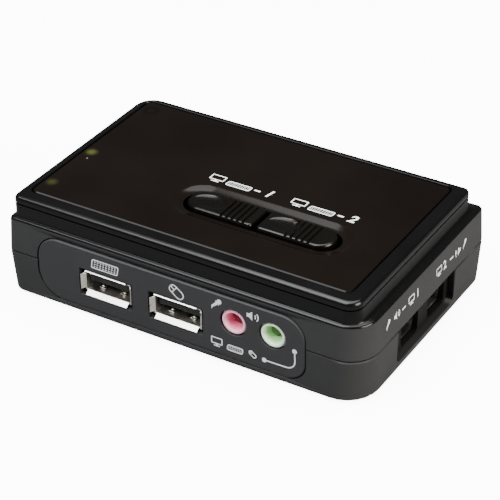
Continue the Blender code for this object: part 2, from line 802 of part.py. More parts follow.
def scoop(name, low, top):
    """A shallow finger dish: a flattened ball that dips into the cap's left half."""
    bm = bmesh.new()
    bmesh.ops.create_uvsphere(bm, u_segments=24, v_segments=12, radius=1.0)
    bmesh.ops.scale(bm, verts=bm.verts[:], vec=(*SCOOP_REACH, SCOOP_DEPTH))
    bmesh.ops.translate(bm, verts=bm.verts[:], vec=(low + SCOOP_IN, WELL_CENTRE_Y, top + 0.02))
    return finish(name, bm)


def switch_spots():
    return [((low + high) / 2, WELL_CENTRE_Y) for low, high in button_span()]


def build_switch(index, metal):
    """A tactile switch body, bored for its plunger."""
    x, y = switch_spots()[index]
    half = SWITCH_SIDE / 2
    low = BOARD_Z + GAP
    high = BOARD_Z + SWITCH_HEIGHT
    body = block(
        f"tact_switch_{index + 1}", (x - half, y - half, low), (x + half, y + half, high), metal, 0.3
    )
    bore = circle_outline((x, y), PLUNGER_RADIUS + GAP)
    seat = BOARD_Z + PLUNGER_SEAT - BUTTON_TRAVEL - GAP
    cut(body, prism(f"switch_bore_{index}", bore, seat, high + 1))
    return body


def build_plunger(index, material):
    x, y = switch_spots()[index]
    outline = circle_outline((x, y), PLUNGER_RADIUS)
    low = BOARD_Z + PLUNGER_SEAT
    high = BOARD_Z + PLUNGER_TOP
    pivot = (x, y, low)
    return prism(f"switch_plunger_{index + 1}", outline, low, high, material, "Z", pivot)


# ---------------------------------------------------------------- front sockets


def build_front_plate(material):
    back = FRONT_FACE + PLATE_THICKNESS
    stages = [
        (plate_outline(-PLATE_EDGE), FRONT_FACE),
        (plate_outline(0.0), FRONT_FACE + PLATE_EDGE),
        (plate_outline(0.0), back),
    ]
    plate = loft("front_socket_plate", stages, material, axis="Y")
    tab_low = BASE + PLATE_BOTTOM + TAB_FROM_BOTTOM
    tab_high = BASE + PLATE_TOP - TAB_FROM_TOP
    tab_front = FRONT_FACE + WALL + LOWER_DRAFT + GAP
    tab_back = tab_front + TAB_THICKNESS
    for index, (edge, way) in enumerate(((PLATE_LEFT, -1), (PLATE_RIGHT, 1))):
        inner = edge - way * 2
        outer = edge + way * TAB_REACH
        web = block(
            f"plate_web_{index}",
            (min(inner, edge), back - 0.5, tab_low),
            (max(inner, edge), tab_back, tab_high),
        )
        tab = block(
            f"plate_tab_{index}",
            (min(inner, outer), tab_front, tab_low),
            (max(inner, outer), tab_back, tab_high),
        )
        join(plate, web)
        join(plate, tab)
    for index, x in enumerate(USB_X):
        half_wide = USB_WIDTH / 2 + USB_FLARE + USB_OPENING_CLEAR
        half_tall = USB_HEIGHT / 2 + USB_FLARE + USB_OPENING_CLEAR
        centre = BASE + USB_CENTRE_HEIGHT
        outline = rounded_outline(
            (x - half_wide, x + half_wide, centre - half_tall, centre + half_tall), 0.3, 2
        )
        cut(plate, prism(f"usb_opening_{index}", outline, FRONT_FACE - 1, back + 2, axis="Y"))
    for index, x in enumerate(JACK_X):
        hole = circle_outline((x, BASE + JACK_CENTRE_HEIGHT), JACK_NOSE_RADIUS + JACK_OPENING_CLEAR, 32)
        cut(plate, prism(f"jack_opening_{index}", hole, FRONT_FACE - 1, back + 2, axis="Y"))
    return plate


def centred_outline(x, z, width, tall, corner=0.4, steps=2):
    box = (x - width / 2, x + width / 2, z - tall / 2, z + tall / 2)
    return rounded_outline(box, corner, steps)


def build_usb_shell(index, material):
    """The folded metal shell of a USB-A socket, with four flared lips at its mouth."""
    x = USB_X[index]
    z = BASE + USB_CENTRE_HEIGHT
    back = USB_BACK
    knee = USB_FRONT + USB_FLARE + USB_FLARE_DEPTH
    wide, tall = USB_WIDTH, USB_HEIGHT
    thin = 2 * USB_SHEET
    flare = 2 * USB_FLARE
    stages = [
        (centred_outline(x, z, wide, tall), back),
        (centred_outline(x, z, wide, tall), knee),
        (centred_outline(x, z, wide + flare, tall + flare), USB_FRONT + 0.25),
        (centred_outline(x, z, wide + flare - 0.3, tall + flare - 0.3), USB_FRONT),
        (centred_outline(x, z, wide - thin, tall - thin), knee + 0.1),
        (centred_outline(x, z, wide - thin, tall - thin), back),
    ]
    shell = loft(f"usb_socket_shell_{index + 1}", stages, material, axis="Y", ring=True)
    for number, (side_x, side_z) in enumerate(((-1, -1), (1, -1), (1, 1), (-1, 1))):
        corner_x = x + side_x * wide / 2
        corner_z = z + side_z * tall / 2
        slot = block(
            f"usb_{index}_slot_{number}",
            (corner_x - USB_SLOT, USB_FRONT - 1, corner_z - USB_SLOT),
            (corner_x + USB_SLOT, knee, corner_z + USB_SLOT),
        )
        cut(shell, slot)
    return shell


def build_usb_insert(index, material):
    """The moulded insert of a USB-A socket: a back block and the tongue that carries the contacts."""
    x = USB_X[index]
    z = BASE + USB_CENTRE_HEIGHT
    back = USB_BACK
    wide = USB_WIDTH - 2 * USB_SHEET - 2 * GAP
    tall = USB_HEIGHT - 2 * USB_SHEET - 2 * GAP
    rear = back - USB_BLOCK_DEPTH
    name = f"usb_socket_insert_{index + 1}"
    insert = block(name, (x - wide / 2, rear, z - tall / 2), (x + wide / 2, back, z + tall / 2), material)
    tongue_top = z + tall / 2 - USB_TONGUE_DROP
    tongue = block(
        name + "_tongue",
        (x - USB_TONGUE_WIDTH / 2, USB_FRONT + USB_TONGUE_RECESS, tongue_top - USB_TONGUE_THICKNESS),
        (x + USB_TONGUE_WIDTH / 2, rear + 0.5, tongue_top),
    )
    return join(insert, tongue)


def build_jack(index, name, material):
    """A coloured 3.5 mm jack: a body on the board and a nose with a funnelled bore."""
    x = JACK_X[index]
    z = BASE + JACK_CENTRE_HEIGHT
    nose_front = FRONT_FACE + JACK_RECESS
    body_front = FRONT_FACE + PLATE_THICKNESS + GAP
    body_back = body_front + JACK_BODY_LENGTH
    half = JACK_BODY_WIDTH / 2
    body = block(
        name,
        (x - half, body_front, BOARD_Z + GAP),
        (x + half, body_back, z + half),
        material,
        0.4,
    )
    nose = [
        (circle_outline((x, z), JACK_NOSE_RADIUS - JACK_EDGE, 32), nose_front),
        (circle_outline((x, z), JACK_NOSE_RADIUS, 32), nose_front + JACK_EDGE),
        (circle_outline((x, z), JACK_NOSE_RADIUS, 32), body_front + 1),
    ]
    join(body, loft(name + "_nose", nose, axis="Y"))
    bore = [
        (circle_outline((x, z), JACK_FUNNEL_RADIUS + 0.4, 24), nose_front - 0.4),
        (circle_outline((x, z), JACK_BORE_RADIUS, 24), nose_front + JACK_FUNNEL_DEPTH),
        (circle_outline((x, z), JACK_BORE_RADIUS, 24), body_back - JACK_BACK_WALL),
    ]
    return cut(body, loft(name + "_bore", bore, axis="Y"))


# ---------------------------------------------------------------- side sockets


def mini_outline(centre, inset):
    """The mouth of a mini socket: straight top, sides that lean in to a narrower bottom."""
    low = BASE + MINI_BOTTOM + inset
    high = BASE + MINI_BOTTOM + MINI_HEIGHT - inset
    wide = MINI_TOP_WIDTH / 2 - inset
    narrow = MINI_BOTTOM_WIDTH / 2 - inset * 0.7
    knee = low + (high - low) * 0.42
    return [
        (centre - narrow, low),
        (centre + narrow, low),
        (centre + wide, knee),
        (centre + wide, high),
        (centre - wide, high),
        (centre - wide, knee),
    ]


def mini_front():
    return HALF_LENGTH - POCKET_DEPTH - MINI_SETBACK


def build_mini_shell(index, material):
    centre = PORT_Y[index]
    front = mini_front()
    back = front - MINI_LENGTH
    name = f"mini_socket_shell_{index + 1}"
    shell = prism(name, mini_outline(centre, 0.0), back, front, material, "X")
    inside = mini_outline(centre, MINI_SHEET)
    return cut(shell, prism(name + "_inside", inside, back - 1, front + 1, axis="X"))


def build_mini_insert(index, material):
    centre = PORT_Y[index]
    front = mini_front()
    back = front - MINI_LENGTH
    name = f"mini_socket_insert_{index + 1}"
    plug = prism(name, mini_outline(centre, MINI_SHEET + GAP), back, back + MINI_BLOCK_DEPTH, material, "X")
    high = BASE + MINI_BOTTOM + MINI_HEIGHT - MINI_SHEET - GAP
    tongue = block(
        name + "_tongue",
        (back + MINI_BLOCK_DEPTH - 0.5, centre - MINI_TONGUE_WIDTH / 2, high - MINI_TONGUE_LOW),
        (front - MINI_TONGUE_RECESS, centre + MINI_TONGUE_WIDTH / 2, high - MINI_TONGUE_HIGH),
    )
    return join(plug, tongue)


# ---------------------------------------------------------------- rear connectors


def build_video_shell(index, material):
    """The metal front of a video connector: a flange and the D-shaped shell."""
    centre = video_centres()[index]
    z = BASE + VIDEO_HEIGHT
    face = VIDEO_FLANGE_FACE
    name = f"video_shell_{index + 1}"
    flange_shape = centred_outline(centre, z, FLANGE_WIDTH, FLANGE_TALL, FLANGE_CORNER, 3)
    shell = prism(name, flange_shape, face - FLANGE_SHEET, face, material, "Y")
    outer = d_outline(centre, z, D_WIDTH, D_TALL, D_CORNER)
    join(shell, prism(name + "_d", outer, face - 0.4, face + D_REACH, axis="Y"))
    inner = d_outline(centre, z, D_WIDTH - 2 * D_SHEET, D_TALL - 2 * D_SHEET, D_CORNER - 0.3)
    cut(shell, prism(name + "_bore", inner, face - 2, face + D_REACH + 1, axis="Y"))
    for side in (-1, 1):
        spot = (centre + side * JACKSCREW_PITCH / 2, z)
        hole = circle_outline(spot, JACKSCREW_SHANK + GAP, 16)
        cut(shell, prism(f"{name}_hole_{side}", hole, face - 2, face + 1, axis="Y"))
    return shell


def build_video_insert(index, material):
    """The moulded insert: a D-shaped face with fifteen contact holes, and its board housing."""
    centre = video_centres()[index]
    z = BASE + VIDEO_HEIGHT
    face = VIDEO_FLANGE_FACE
    front = face + D_REACH - D_FACE_SET_IN
    name = f"video_insert_{index + 1}"
    slack = 2 * (D_SHEET + GAP)
    shape = d_outline(centre, z, D_WIDTH - slack, D_TALL - slack, D_CORNER - 0.6)
    insert = prism(name, shape, HOUSING_FRONT - 1, front, material, "Y")
    housing = block(
        name + "_housing",
        (centre - HOUSING_WIDTH / 2, HOUSING_BACK, BOARD_Z + GAP),
        (centre + HOUSING_WIDTH / 2, HOUSING_FRONT, z + FLANGE_TALL / 2 - 0.3),
    )
    join(insert, housing)
    for row in (-1, 0, 1):
        for column in (-2, -1, 0, 1, 2):
            shift = 0.5 * PIN_PITCH if row == 0 else 0.0
            spot = (centre + column * PIN_PITCH - shift + PIN_PITCH / 4, z + row * PIN_ROW)
            hole = circle_outline(spot, PIN_RADIUS, 8)
            tool = prism(f"{name}_pin_{row}_{column}", hole, front - 3, front + 1, axis="Y")
            cut(insert, tool)
    for side in (-1, 1):
        spot = (centre + side * JACKSCREW_PITCH / 2, z)
        hole = circle_outline(spot, JACKSCREW_SHANK + GAP, 16)
        tool = prism(f"{name}_screw_{side}", hole, HOUSING_FRONT - 4.5, HOUSING_FRONT + 1, axis="Y")
        cut(insert, tool)
    return insert


def build_jackscrew(index, side, material):
    """A hexagon jackscrew: tapped head outside the flange, shank through it."""
    centre = video_centres()[index] + side * JACKSCREW_PITCH / 2
    spot = (centre, BASE + VIDEO_HEIGHT)
    face = VIDEO_FLANGE_FACE
    head_low = face + GAP
    head_high = head_low + JACKSCREW_REACH
    radius = JACKSCREW_FLATS / 2 / cos(pi / 6)
    name = f"jackscrew_{2 * index + (1 if side < 0 else 2)}"
    head = prism(name, circle_outline(spot, radius, 6), head_low, head_high, material, "Y")
    shank = circle_outline(spot, JACKSCREW_SHANK, 16)
    join(head, prism(name + "_shank", shank, face - JACKSCREW_SHANK_LENGTH, head_low + 0.5, axis="Y"))
    tap = circle_outline(spot, JACKSCREW_THREAD, 16)
    return cut(head, prism(name + "_tap", tap, head_high - JACKSCREW_TAP_DEPTH, head_high + 1, axis="Y"))


# ---------------------------------------------------------------- board and small pieces


def build_board(material):
    box = (
        -HALF_LENGTH + WALL + LOWER_DRAFT + BOARD_MARGIN,
        HALF_LENGTH - POCKET_DEPTH - POCKET_WALL - BOARD_MARGIN,
        FRONT_FACE + WALL + LOWER_DRAFT + GAP + TAB_THICKNESS + GAP,
        HOUSING_FRONT,
    )
    low = BOARD_Z - BOARD_THICKNESS
    board = prism("circuit_board", rounded_outline(box, BOARD_CORNER), low, BOARD_Z, material)
    for index, spot in enumerate(SCREW_SPOTS):
        hole = circle_outline(spot, SCREW_SHANK_RADIUS + GAP, 16)
        cut(board, prism(f"board_hole_{index}", hole, low - 1, BOARD_Z + 1))
    for index, centre in enumerate(PORT_Y):
        half = MINI_TOP_WIDTH / 2 + GAP
        notch = block(
            f"board_notch_{index}",
            (mini_front() - MINI_LENGTH - GAP, centre - half, low - 1),
            (HALF_LENGTH, centre + half, BOARD_Z + 1),
        )
        cut(board, notch)
    return board


def build_chip(name, centre, size, material):
    x, y = centre
    wide, deep, tall = size
    low = BOARD_Z + GAP
    return block(
        name,
        (x - wide / 2, y - deep / 2, low),
        (x + wide / 2, y + deep / 2, low + tall),
        material,
        CHIP_BEVEL,
    )


def build_crystal(centre, material):
    outline = obround_outline(centre, CRYSTAL_LENGTH, CRYSTAL_WIDTH, 6)
    narrow = 2 * CRYSTAL_STEP
    low = BOARD_Z + GAP
    stages = [
        (outline, low),
        (outline, low + CRYSTAL_HEIGHT - CRYSTAL_STEP),
        (
            obround_outline(centre, CRYSTAL_LENGTH - narrow, CRYSTAL_WIDTH - narrow, 6),
            low + CRYSTAL_HEIGHT,
        ),
    ]
    return loft("crystal", stages, material)


def build_capacitor(number, centre, material):
    low = BOARD_Z + GAP
    outline = circle_outline(centre, CAPACITOR_RADIUS, 20)
    stages = [
        (outline, low),
        (outline, low + CAPACITOR_HEIGHT - CAPACITOR_STEP),
        (circle_outline(centre, CAPACITOR_RADIUS - CAPACITOR_STEP, 20), low + CAPACITOR_HEIGHT),
    ]
    return loft(f"capacitor_{number}", stages, material)


def build_light(index, chip_material, pipe_material):
    x, y = LIGHT_SPOTS[index]
    wide, deep, tall = LED_SIZE
    low = BOARD_Z + GAP
    block(
        f"led_{index + 1}",
        (x - wide / 2, y - deep / 2, low),
        (x + wide / 2, y + deep / 2, low + tall),
        chip_material,
    )
    outline = circle_outline((x, y), LIGHT_PIPE_RADIUS, 16)
    prism(f"light_pipe_{index + 1}", outline, low + tall + GAP, PANEL_BASE - GAP, pipe_material)


def build_screw(number, spot, material):
    """A pan-head case screw, put in from below, with a cross recess."""
    x, y = spot
    low = BASE + SCREW_SINK
    shoulder = low + SCREW_HEAD_HEIGHT
    stages = [
        (circle_outline(spot, SCREW_HEAD_RADIUS * 0.7, 20), low),
        (circle_outline(spot, SCREW_HEAD_RADIUS, 20), low + SCREW_HEAD_STEP),
        (circle_outline(spot, SCREW_HEAD_RADIUS, 20), shoulder),
        (circle_outline(spot, SCREW_SHANK_RADIUS, 20), shoulder + 0.01),
        (circle_outline(spot, SCREW_SHANK_RADIUS, 20), shoulder + SCREW_LENGTH - SCREW_POINT),
        (circle_outline(spot, SCREW_SHANK_RADIUS * 0.4, 20), shoulder + SCREW_LENGTH),
    ]
    screw = loft(f"case_screw_{number}", stages, material)
    for wide, deep in ((RECESS_LONG, RECESS_WIDE), (RECESS_WIDE, RECESS_LONG)):
        slot = block(
            f"screw_{number}_recess_{wide}",
            (x - wide / 2, y - deep / 2, low - 1),
            (x + wide / 2, y + deep / 2, low + RECESS_DEEP),
        )
        cut(screw, slot)
    return screw


def build_foot(number, spot, material):
    stages = [
        (circle_outline(spot, FOOT_RADIUS - FOOT_BEVEL), 0.0),
        (circle_outline(spot, FOOT_RADIUS), FOOT_BEVEL),
        (circle_outline(spot, FOOT_RADIUS), BASE + FOOT_SUNK),
    ]
    return loft(f"rubber_foot_{number}", stages, material)


# ---------------------------------------------------------------- assembly


def main():
    global STAND
    clear_scene()
    STAND = bpy.data.objects.new("stand_point", None)
    STAND.location = (0.0, CASE_SHIFT_Y * MM, 0.0)
    bpy.context.scene.collection.objects.link(STAND)

    textured = make_material("textured_black", (0.030, 0.029, 0.028), 0.55)
    gloss = make_material("gloss_black", (0.006, 0.006, 0.007), 0.08)
    smoke = make_material("smoked_acrylic", (0.010, 0.008, 0.007), 0.06)
    button = make_material("button_black", (0.012, 0.012, 0.013), 0.22)
    nickel = make_material("nickel_steel", (0.72, 0.71, 0.68), 0.25, 1.0)
    black_resin = make_material("black_resin", (0.010, 0.010, 0.010), 0.5)
    blue_resin = make_material("blue_resin", (0.02, 0.07, 0.33), 0.45)
    pink = make_material("pink_plastic", (0.85, 0.28, 0.40), 0.35)
    green = make_material("green_plastic", (0.35, 0.68, 0.30), 0.35)
    laminate = make_material("green_laminate", (0.02, 0.13, 0.06), 0.4)
    clear = make_material("clear_pipe", (0.85, 0.87, 0.86), 0.1)
    light = make_material("led_resin", (0.55, 0.75, 0.30), 0.3)
    rubber = make_material("rubber", (0.02, 0.02, 0.02), 0.85)
    foil = make_material("capacitor_sleeve", (0.03, 0.03, 0.06), 0.4)

    build_lower_shell(textured)
    build_upper_shell(textured)
    build_tray(gloss)
    build_panel(smoke)
    build_front_plate(textured)
    build_board(laminate)
    for index in range(2):
        build_button(index, button)
        build_switch(index, nickel)
        build_plunger(index, black_resin)
        build_usb_shell(index, nickel)
        build_usb_insert(index, black_resin)
        build_mini_shell(index, nickel)
        build_mini_insert(index, black_resin)
        build_light(index, light, clear)
    build_jack(0, "mic_jack", pink)
    build_jack(1, "speaker_jack", green)
    for index in range(3):
        build_video_shell(index, nickel)
        build_video_insert(index, blue_resin)
        for side in (-1, 1):
            build_jackscrew(index, side, nickel)
    build_chip("controller_chip", CONTROLLER_SPOT, CONTROLLER_SIZE, black_resin)
    build_chip("video_switch_chip", VIDEO_CHIP_SPOT, VIDEO_CHIP_SIZE, black_resin)
    build_crystal(CRYSTAL_SPOT, nickel)
    for number, spot in enumerate(CAPACITOR_SPOTS, 1):
        build_capacitor(number, spot, foil)
    for number, spot in enumerate(SCREW_SPOTS, 1):
        build_screw(number, spot, nickel)
    for number, spot in enumerate(FOOT_SPOTS, 1):
        build_foot(number, spot, rubber)


main()
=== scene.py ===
"""A two-port desktop KVM switch with audio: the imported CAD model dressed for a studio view.

Sizes times MM are in millimetres, other lengths are in metres, and the signs are drawn in
millimetres. The switch stands on the floor at z = 0, its long socket side faces -Y, and the pocket
with the computer sockets faces +X.
"""

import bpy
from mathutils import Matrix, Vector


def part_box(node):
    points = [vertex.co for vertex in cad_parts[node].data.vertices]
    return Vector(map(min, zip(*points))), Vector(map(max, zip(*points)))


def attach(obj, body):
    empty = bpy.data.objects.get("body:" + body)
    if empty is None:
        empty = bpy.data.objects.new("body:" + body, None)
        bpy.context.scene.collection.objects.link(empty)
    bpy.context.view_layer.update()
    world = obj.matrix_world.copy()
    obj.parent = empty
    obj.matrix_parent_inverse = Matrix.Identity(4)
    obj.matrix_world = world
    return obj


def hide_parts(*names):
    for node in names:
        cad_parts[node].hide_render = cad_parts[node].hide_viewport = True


bl_info = {
    "name": "Desktop KVM Switch",
    "version": (1, 0, 0),
    "blender": (4, 5, 0),
    "location": "View3D > Sidebar > KVM Switch",
    "description": "Dresses the CAD model of a two-port KVM switch with shells, sockets and print",
    "category": "Object",
}

from math import cos, pi, radians, sin

import bmesh
import bpy
from bpy.props import FloatProperty, FloatVectorProperty, PointerProperty
from mathutils import Matrix, Vector

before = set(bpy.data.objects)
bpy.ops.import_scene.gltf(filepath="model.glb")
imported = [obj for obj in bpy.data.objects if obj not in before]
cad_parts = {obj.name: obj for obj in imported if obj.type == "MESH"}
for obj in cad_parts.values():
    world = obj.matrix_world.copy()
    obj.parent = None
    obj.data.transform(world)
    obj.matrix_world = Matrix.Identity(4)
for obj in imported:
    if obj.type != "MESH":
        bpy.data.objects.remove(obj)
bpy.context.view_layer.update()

MM = 0.001
CASE = "case"


# ---------------------------------------------------------------- settings


def colour(name, description, default):
    return FloatVectorProperty(
        name=name, description=description, default=default, subtype="COLOR", min=0.0, max=1.0
    )


def length(name, description, default):
    return FloatProperty(
        name=name, description=description, default=default, min=0.0, unit="LENGTH"
    )


class ShellSettings(bpy.types.PropertyGroup):
    """Colours and finish of the moulded case."""

    wall_colour: colour("Wall", "Textured plastic of the case walls", (0.026, 0.026, 0.0266))
    gloss_colour: colour("Gloss", "Polished shoulder and cover", (0.0022, 0.0022, 0.0022))
    plate_colour: colour("Plate", "Plastic of the front socket plate", (0.029, 0.029, 0.0304))
    grain_size: length("Grain", "Size of the moulded texture", 0.35 * MM)
    wall_top: length("Wall top", "Height where the texture gives way to polish", 20.95 * MM)


class WindowSettings(bpy.types.PropertyGroup):
    """The smoked window and the lights under it."""

    tint: colour("Tint", "Colour of the smoked window", (0.0042, 0.0030, 0.0023))
    glow: colour("Glow", "Colour of the indicator lights", (0.62, 0.72, 0.16))
    glow_strength: FloatProperty(
        name="Glow strength", description="Brightness of the rear light", default=0.22, min=0.0
    )
    glow_radius: length("Glow radius", "How far a light spreads under the window", 2.6 * MM)


class SocketSettings(bpy.types.PropertyGroup):
    """Metals and resins of the sockets."""

    nickel: colour("Nickel", "Plated steel shells", (0.80, 0.785, 0.72))
    gold: colour("Gold", "Contact plating", (0.83, 0.60, 0.25))
    resin: colour("Resin", "Black socket inserts", (0.010, 0.010, 0.011))
    video_resin: colour("Video resin", "Inserts of the video sockets", (0.012, 0.060, 0.30))
    mic: colour("Mic", "Microphone jack", (0.95, 0.20, 0.36))
    speaker: colour("Speaker", "Loudspeaker jack", (0.50, 0.86, 0.38))


class PrintSettings(bpy.types.PropertyGroup):
    """The pale signs printed on the case."""

    ink: colour("Ink", "Colour of the print", (0.74, 0.75, 0.76))
    thickness: length("Thickness", "Thickness of the print", 0.03 * MM)
    stroke: length("Stroke", "Width of a printed line", 0.28 * MM)


class StageSettings(bpy.types.PropertyGroup):
    """Floor, lights and camera."""

    floor_side: length("Floor", "Side of the floor", 6.0)
    azimuth: FloatProperty(
        name="Azimuth", description="Camera turn to the right of the front",
        default=radians(30.98), subtype="ANGLE",
    )
    elevation: FloatProperty(
        name="Elevation", description="Camera angle above the floor",
        default=radians(32.89), subtype="ANGLE",
    )
    distance: length("Distance", "From the camera to its target", 473.39 * MM)
    lens: FloatProperty(
        name="Lens", description="Focal length in millimetres", default=134.72, min=10
    )
    floor_colour: colour("Floor colour", "Paper white of the floor", (0.93, 0.93, 0.93))
    floor_bounce: FloatProperty(
        name="Floor bounce", description="Share of the floor's white seen in reflections",
        default=0.17, min=0.0, max=1.0,
    )
    floor_lift: FloatProperty(
        name="Floor lift", description="Extra white the lit paper shows the camera",
        default=9.0, min=0.0,
    )
    room_light: FloatProperty(
        name="Room light", description="Strength of the room around the set",
        default=0.12, min=0.0,
    )


# ---------------------------------------------------------------- node helpers

VECTOR, FLOAT = "NodeSocketVector", "NodeSocketFloat"
MOTTLE = (0.3, 0.7)
SPECK_RADIUS = 0.045


def feed(tree, target, value):
    """Links an input to another node's output, or sets it to a plain value."""
    if isinstance(value, bpy.types.NodeSocket):
        tree.links.new(value, target)
    elif target.type == "RGBA":
        target.default_value = (*value[:3], 1.0)
    else:
        target.default_value = value


def put(tree, kind, *inputs, **values):
    """Adds a node: inputs by their order, settings in lower case and inputs by their labels."""
    item = tree.nodes.new(kind)
    for key, value in values.items():
        if key[0].islower():
            setattr(item, key, value)
        else:
            feed(tree, item.inputs[key.replace("_", " ")], value)
    for target, value in zip(item.inputs, inputs):
        feed(tree, target, value)
    return item


def maths(tree, operation, *inputs, clamp=False):
    return put(tree, "ShaderNodeMath", *inputs, operation=operation, use_clamp=clamp).outputs[0]


def vector_maths(tree, operation, *inputs):
    """A vector, or a number when the operation is a distance."""
    item = put(tree, "ShaderNodeVectorMath", *inputs, operation=operation)
    return item.outputs["Value" if operation == "DISTANCE" else "Vector"]


def remap(tree, value, span, onto=(0.0, 1.0), kind="LINEAR"):
    """Carries a span of values onto another and stops at its ends."""
    item = put(
        tree, "ShaderNodeMapRange", interpolation_type=kind, Value=value,
        From_Min=span[0], From_Max=span[1], To_Min=onto[0], To_Max=onto[1],
    )
    return item.outputs["Result"]


def mix_colours(tree, share, low, high):
    """Blends two colours, each a plain one or another node's output."""
    item = put(tree, "ShaderNodeMix", data_type="RGBA")
    for number, value in ((0, share), (6, low), (7, high)):
        feed(tree, item.inputs[number], value)
    return item.outputs[2]


def shaded(base, share):
    return [share * part for part in base]


def new_group(name, inputs, outputs):
    """A node group with its inner ends, which are None when the group is already there."""
    if name in bpy.data.node_groups:
        return bpy.data.node_groups[name], None, None
    group = bpy.data.node_groups.new(name, "ShaderNodeTree")
    for label, kind, value in inputs:
        socket = group.interface.new_socket(label, in_out="INPUT", socket_type=kind)
        if value is not None:
            socket.default_value = value
    for label in outputs:
        group.interface.new_socket(label, in_out="OUTPUT", socket_type=FLOAT)
    come, go = group.nodes.new("NodeGroupInput"), group.nodes.new("NodeGroupOutput")
    return group, come.outputs, go.inputs


def grain_group():
    """Moulded texture: a fine height and a broad, soft mottle."""
    inputs = [("Vector", VECTOR, None), ("Size", FLOAT, 0.00035), ("Broad Size", FLOAT, 0.012)]
    group, come, go = new_group("moulded_grain", inputs, ["Height", "Mottle"])
    if come:
        place = come["Vector"]
        fine = maths(group, "DIVIDE", 1.0, come["Size"])
        broad = maths(group, "DIVIDE", 1.0, come["Broad Size"])
        noise, cells, cloud = (
            put(group, f"ShaderNodeTex{kind}", Vector=place, Scale=scale, **values)
            for kind, scale, values in (
                ("Noise", fine, {"Detail": 3.0, "Roughness": 0.6}),
                ("Voronoi", fine, {"Randomness": 1.0}),
                ("Noise", broad, {"Detail": 2.0, "Roughness": 0.5}),
            )
        )
        height = maths(group, "MULTIPLY_ADD", cells.outputs["Distance"], 0.6, noise.outputs["Fac"])
        feed(group, go["Height"], height)
        feed(group, go["Mottle"], cloud.outputs["Fac"])
    return group


def dust_group():
    """Scattered pale specks: a mask that is 1 on a speck and 0 elsewhere."""
    inputs = [("Vector", VECTOR, None), ("Spacing", FLOAT, 0.004), ("Share", FLOAT, 0.25),
              ("Radius", FLOAT, 0.06)]
    group, come, go = new_group("dust_specks", inputs, ["Mask"])
    if come:
        scale = maths(group, "DIVIDE", 1.0, come["Spacing"])
        cells = put(
            group, "ShaderNodeTexVoronoi", Vector=come["Vector"], Scale=scale, Randomness=1.0
        ).outputs
        near = maths(group, "LESS_THAN", cells["Distance"], come["Radius"])
        pick = put(group, "ShaderNodeSeparateColor", Color=cells["Color"])
        some = maths(group, "LESS_THAN", pick.outputs["Red"], come["Share"])
        feed(group, go["Mask"], maths(group, "MULTIPLY", near, some))
    return group


def spot_group():
    """A soft round spot about a point: 1 at its middle, 0 past its radius."""
    inputs = [("Vector", VECTOR, None), ("Centre", VECTOR, None), ("Radius", FLOAT, 0.003)]
    group, come, go = new_group("soft_spot", inputs, ["Mask"])
    if come:
        away = vector_maths(group, "DISTANCE", come["Vector"], come["Centre"])
        part = maths(group, "DIVIDE", away, come["Radius"], clamp=True)
        feed(group, go["Mask"], remap(group, part, (0.0, 1.0), (1.0, 0.0), "SMOOTHERSTEP"))
    return group


def place_group(tree, group, coords, **values):
    return put(tree, "ShaderNodeGroup", node_tree=group, Vector=coords, **values).outputs


def box_mask(tree, coords, box):
    """1 inside a box given as its low and high corners, 0 outside."""
    centre = [(a + b) / 2 for a, b in zip(*box)]
    half = [(b - a) / 2 for a, b in zip(*box)]
    away = vector_maths(tree, "SUBTRACT", coords, centre)
    share = vector_maths(tree, "ABSOLUTE", vector_maths(tree, "DIVIDE", away, half))
    parts = put(tree, "ShaderNodeSeparateXYZ", Vector=share).outputs
    largest = maths(tree, "MAXIMUM", maths(tree, "MAXIMUM", parts["X"], parts["Y"]), parts["Z"])
    return maths(tree, "LESS_THAN", largest, 1.0)


class Skin:
    """A Principled material with the moulded grain laid over it in object coordinates."""

    def __init__(self, name, base, roughness, fine, broad, **values):
        self.base = base
        self.material = bpy.data.materials.new(name)
        self.material.use_nodes = True
        self.material.diffuse_color = (*base, 1.0)
        self.tree = self.material.node_tree
        self.coords = put(self.tree, "ShaderNodeTexCoord").outputs["Object"]
        for label, value in dict(Base_Color=base, Roughness=roughness, **values).items():
            self.give(label.replace("_", " "), value)
        grain = place_group(self.tree, grain_group(), self.coords, Size=fine, Broad_Size=broad)
        self.height, self.mottle = grain["Height"], grain["Mottle"]

    def give(self, label, value):
        feed(self.tree, self.tree.nodes["Principled BSDF"].inputs[label], value)

    def shades(self, low, high):
        """Drives the base colour between two shades of itself by the mottle."""
        share = remap(self.tree, self.mottle, MOTTLE)
        mix = mix_colours(self.tree, share, shaded(self.base, low), shaded(self.base, high))
        self.give("Base Color", mix)
        return mix

    def roughness(self, low, high):
        self.give("Roughness", remap(self.tree, self.mottle, MOTTLE, (low, high)))

    def relief(self, strength, depth, height=None):
        bump = put(
            self.tree, "ShaderNodeBump", Strength=strength, Distance=depth,
            Height=height or self.height,
        )
        self.give("Normal", bump.outputs["Normal"])

    def dust(self, mix, spacing, share, shade):
        """Lays pale specks over a colour and gives it to the shader."""
        specks = place_group(
            self.tree, dust_group(), self.coords, Spacing=spacing, Share=share, Radius=SPECK_RADIUS
        )
        self.give("Base Color", mix_colours(self.tree, specks["Mask"], mix, shade))


# ---------------------------------------------------------------- materials

WALL_BROAD = 0.016
WALL_BUMP = (0.35, 0.02 * MM)
WALL_SHEEN = 0.22
FINISH_BAND = 0.12 * MM
BOSS_RING = (3.4 * MM, 2.2 * MM)
JACK_RIM = (1.85 * MM, 2.75 * MM)
BLACK, WHITE = (0.0, 0.0, 0.0), (1.0, 1.0, 1.0)


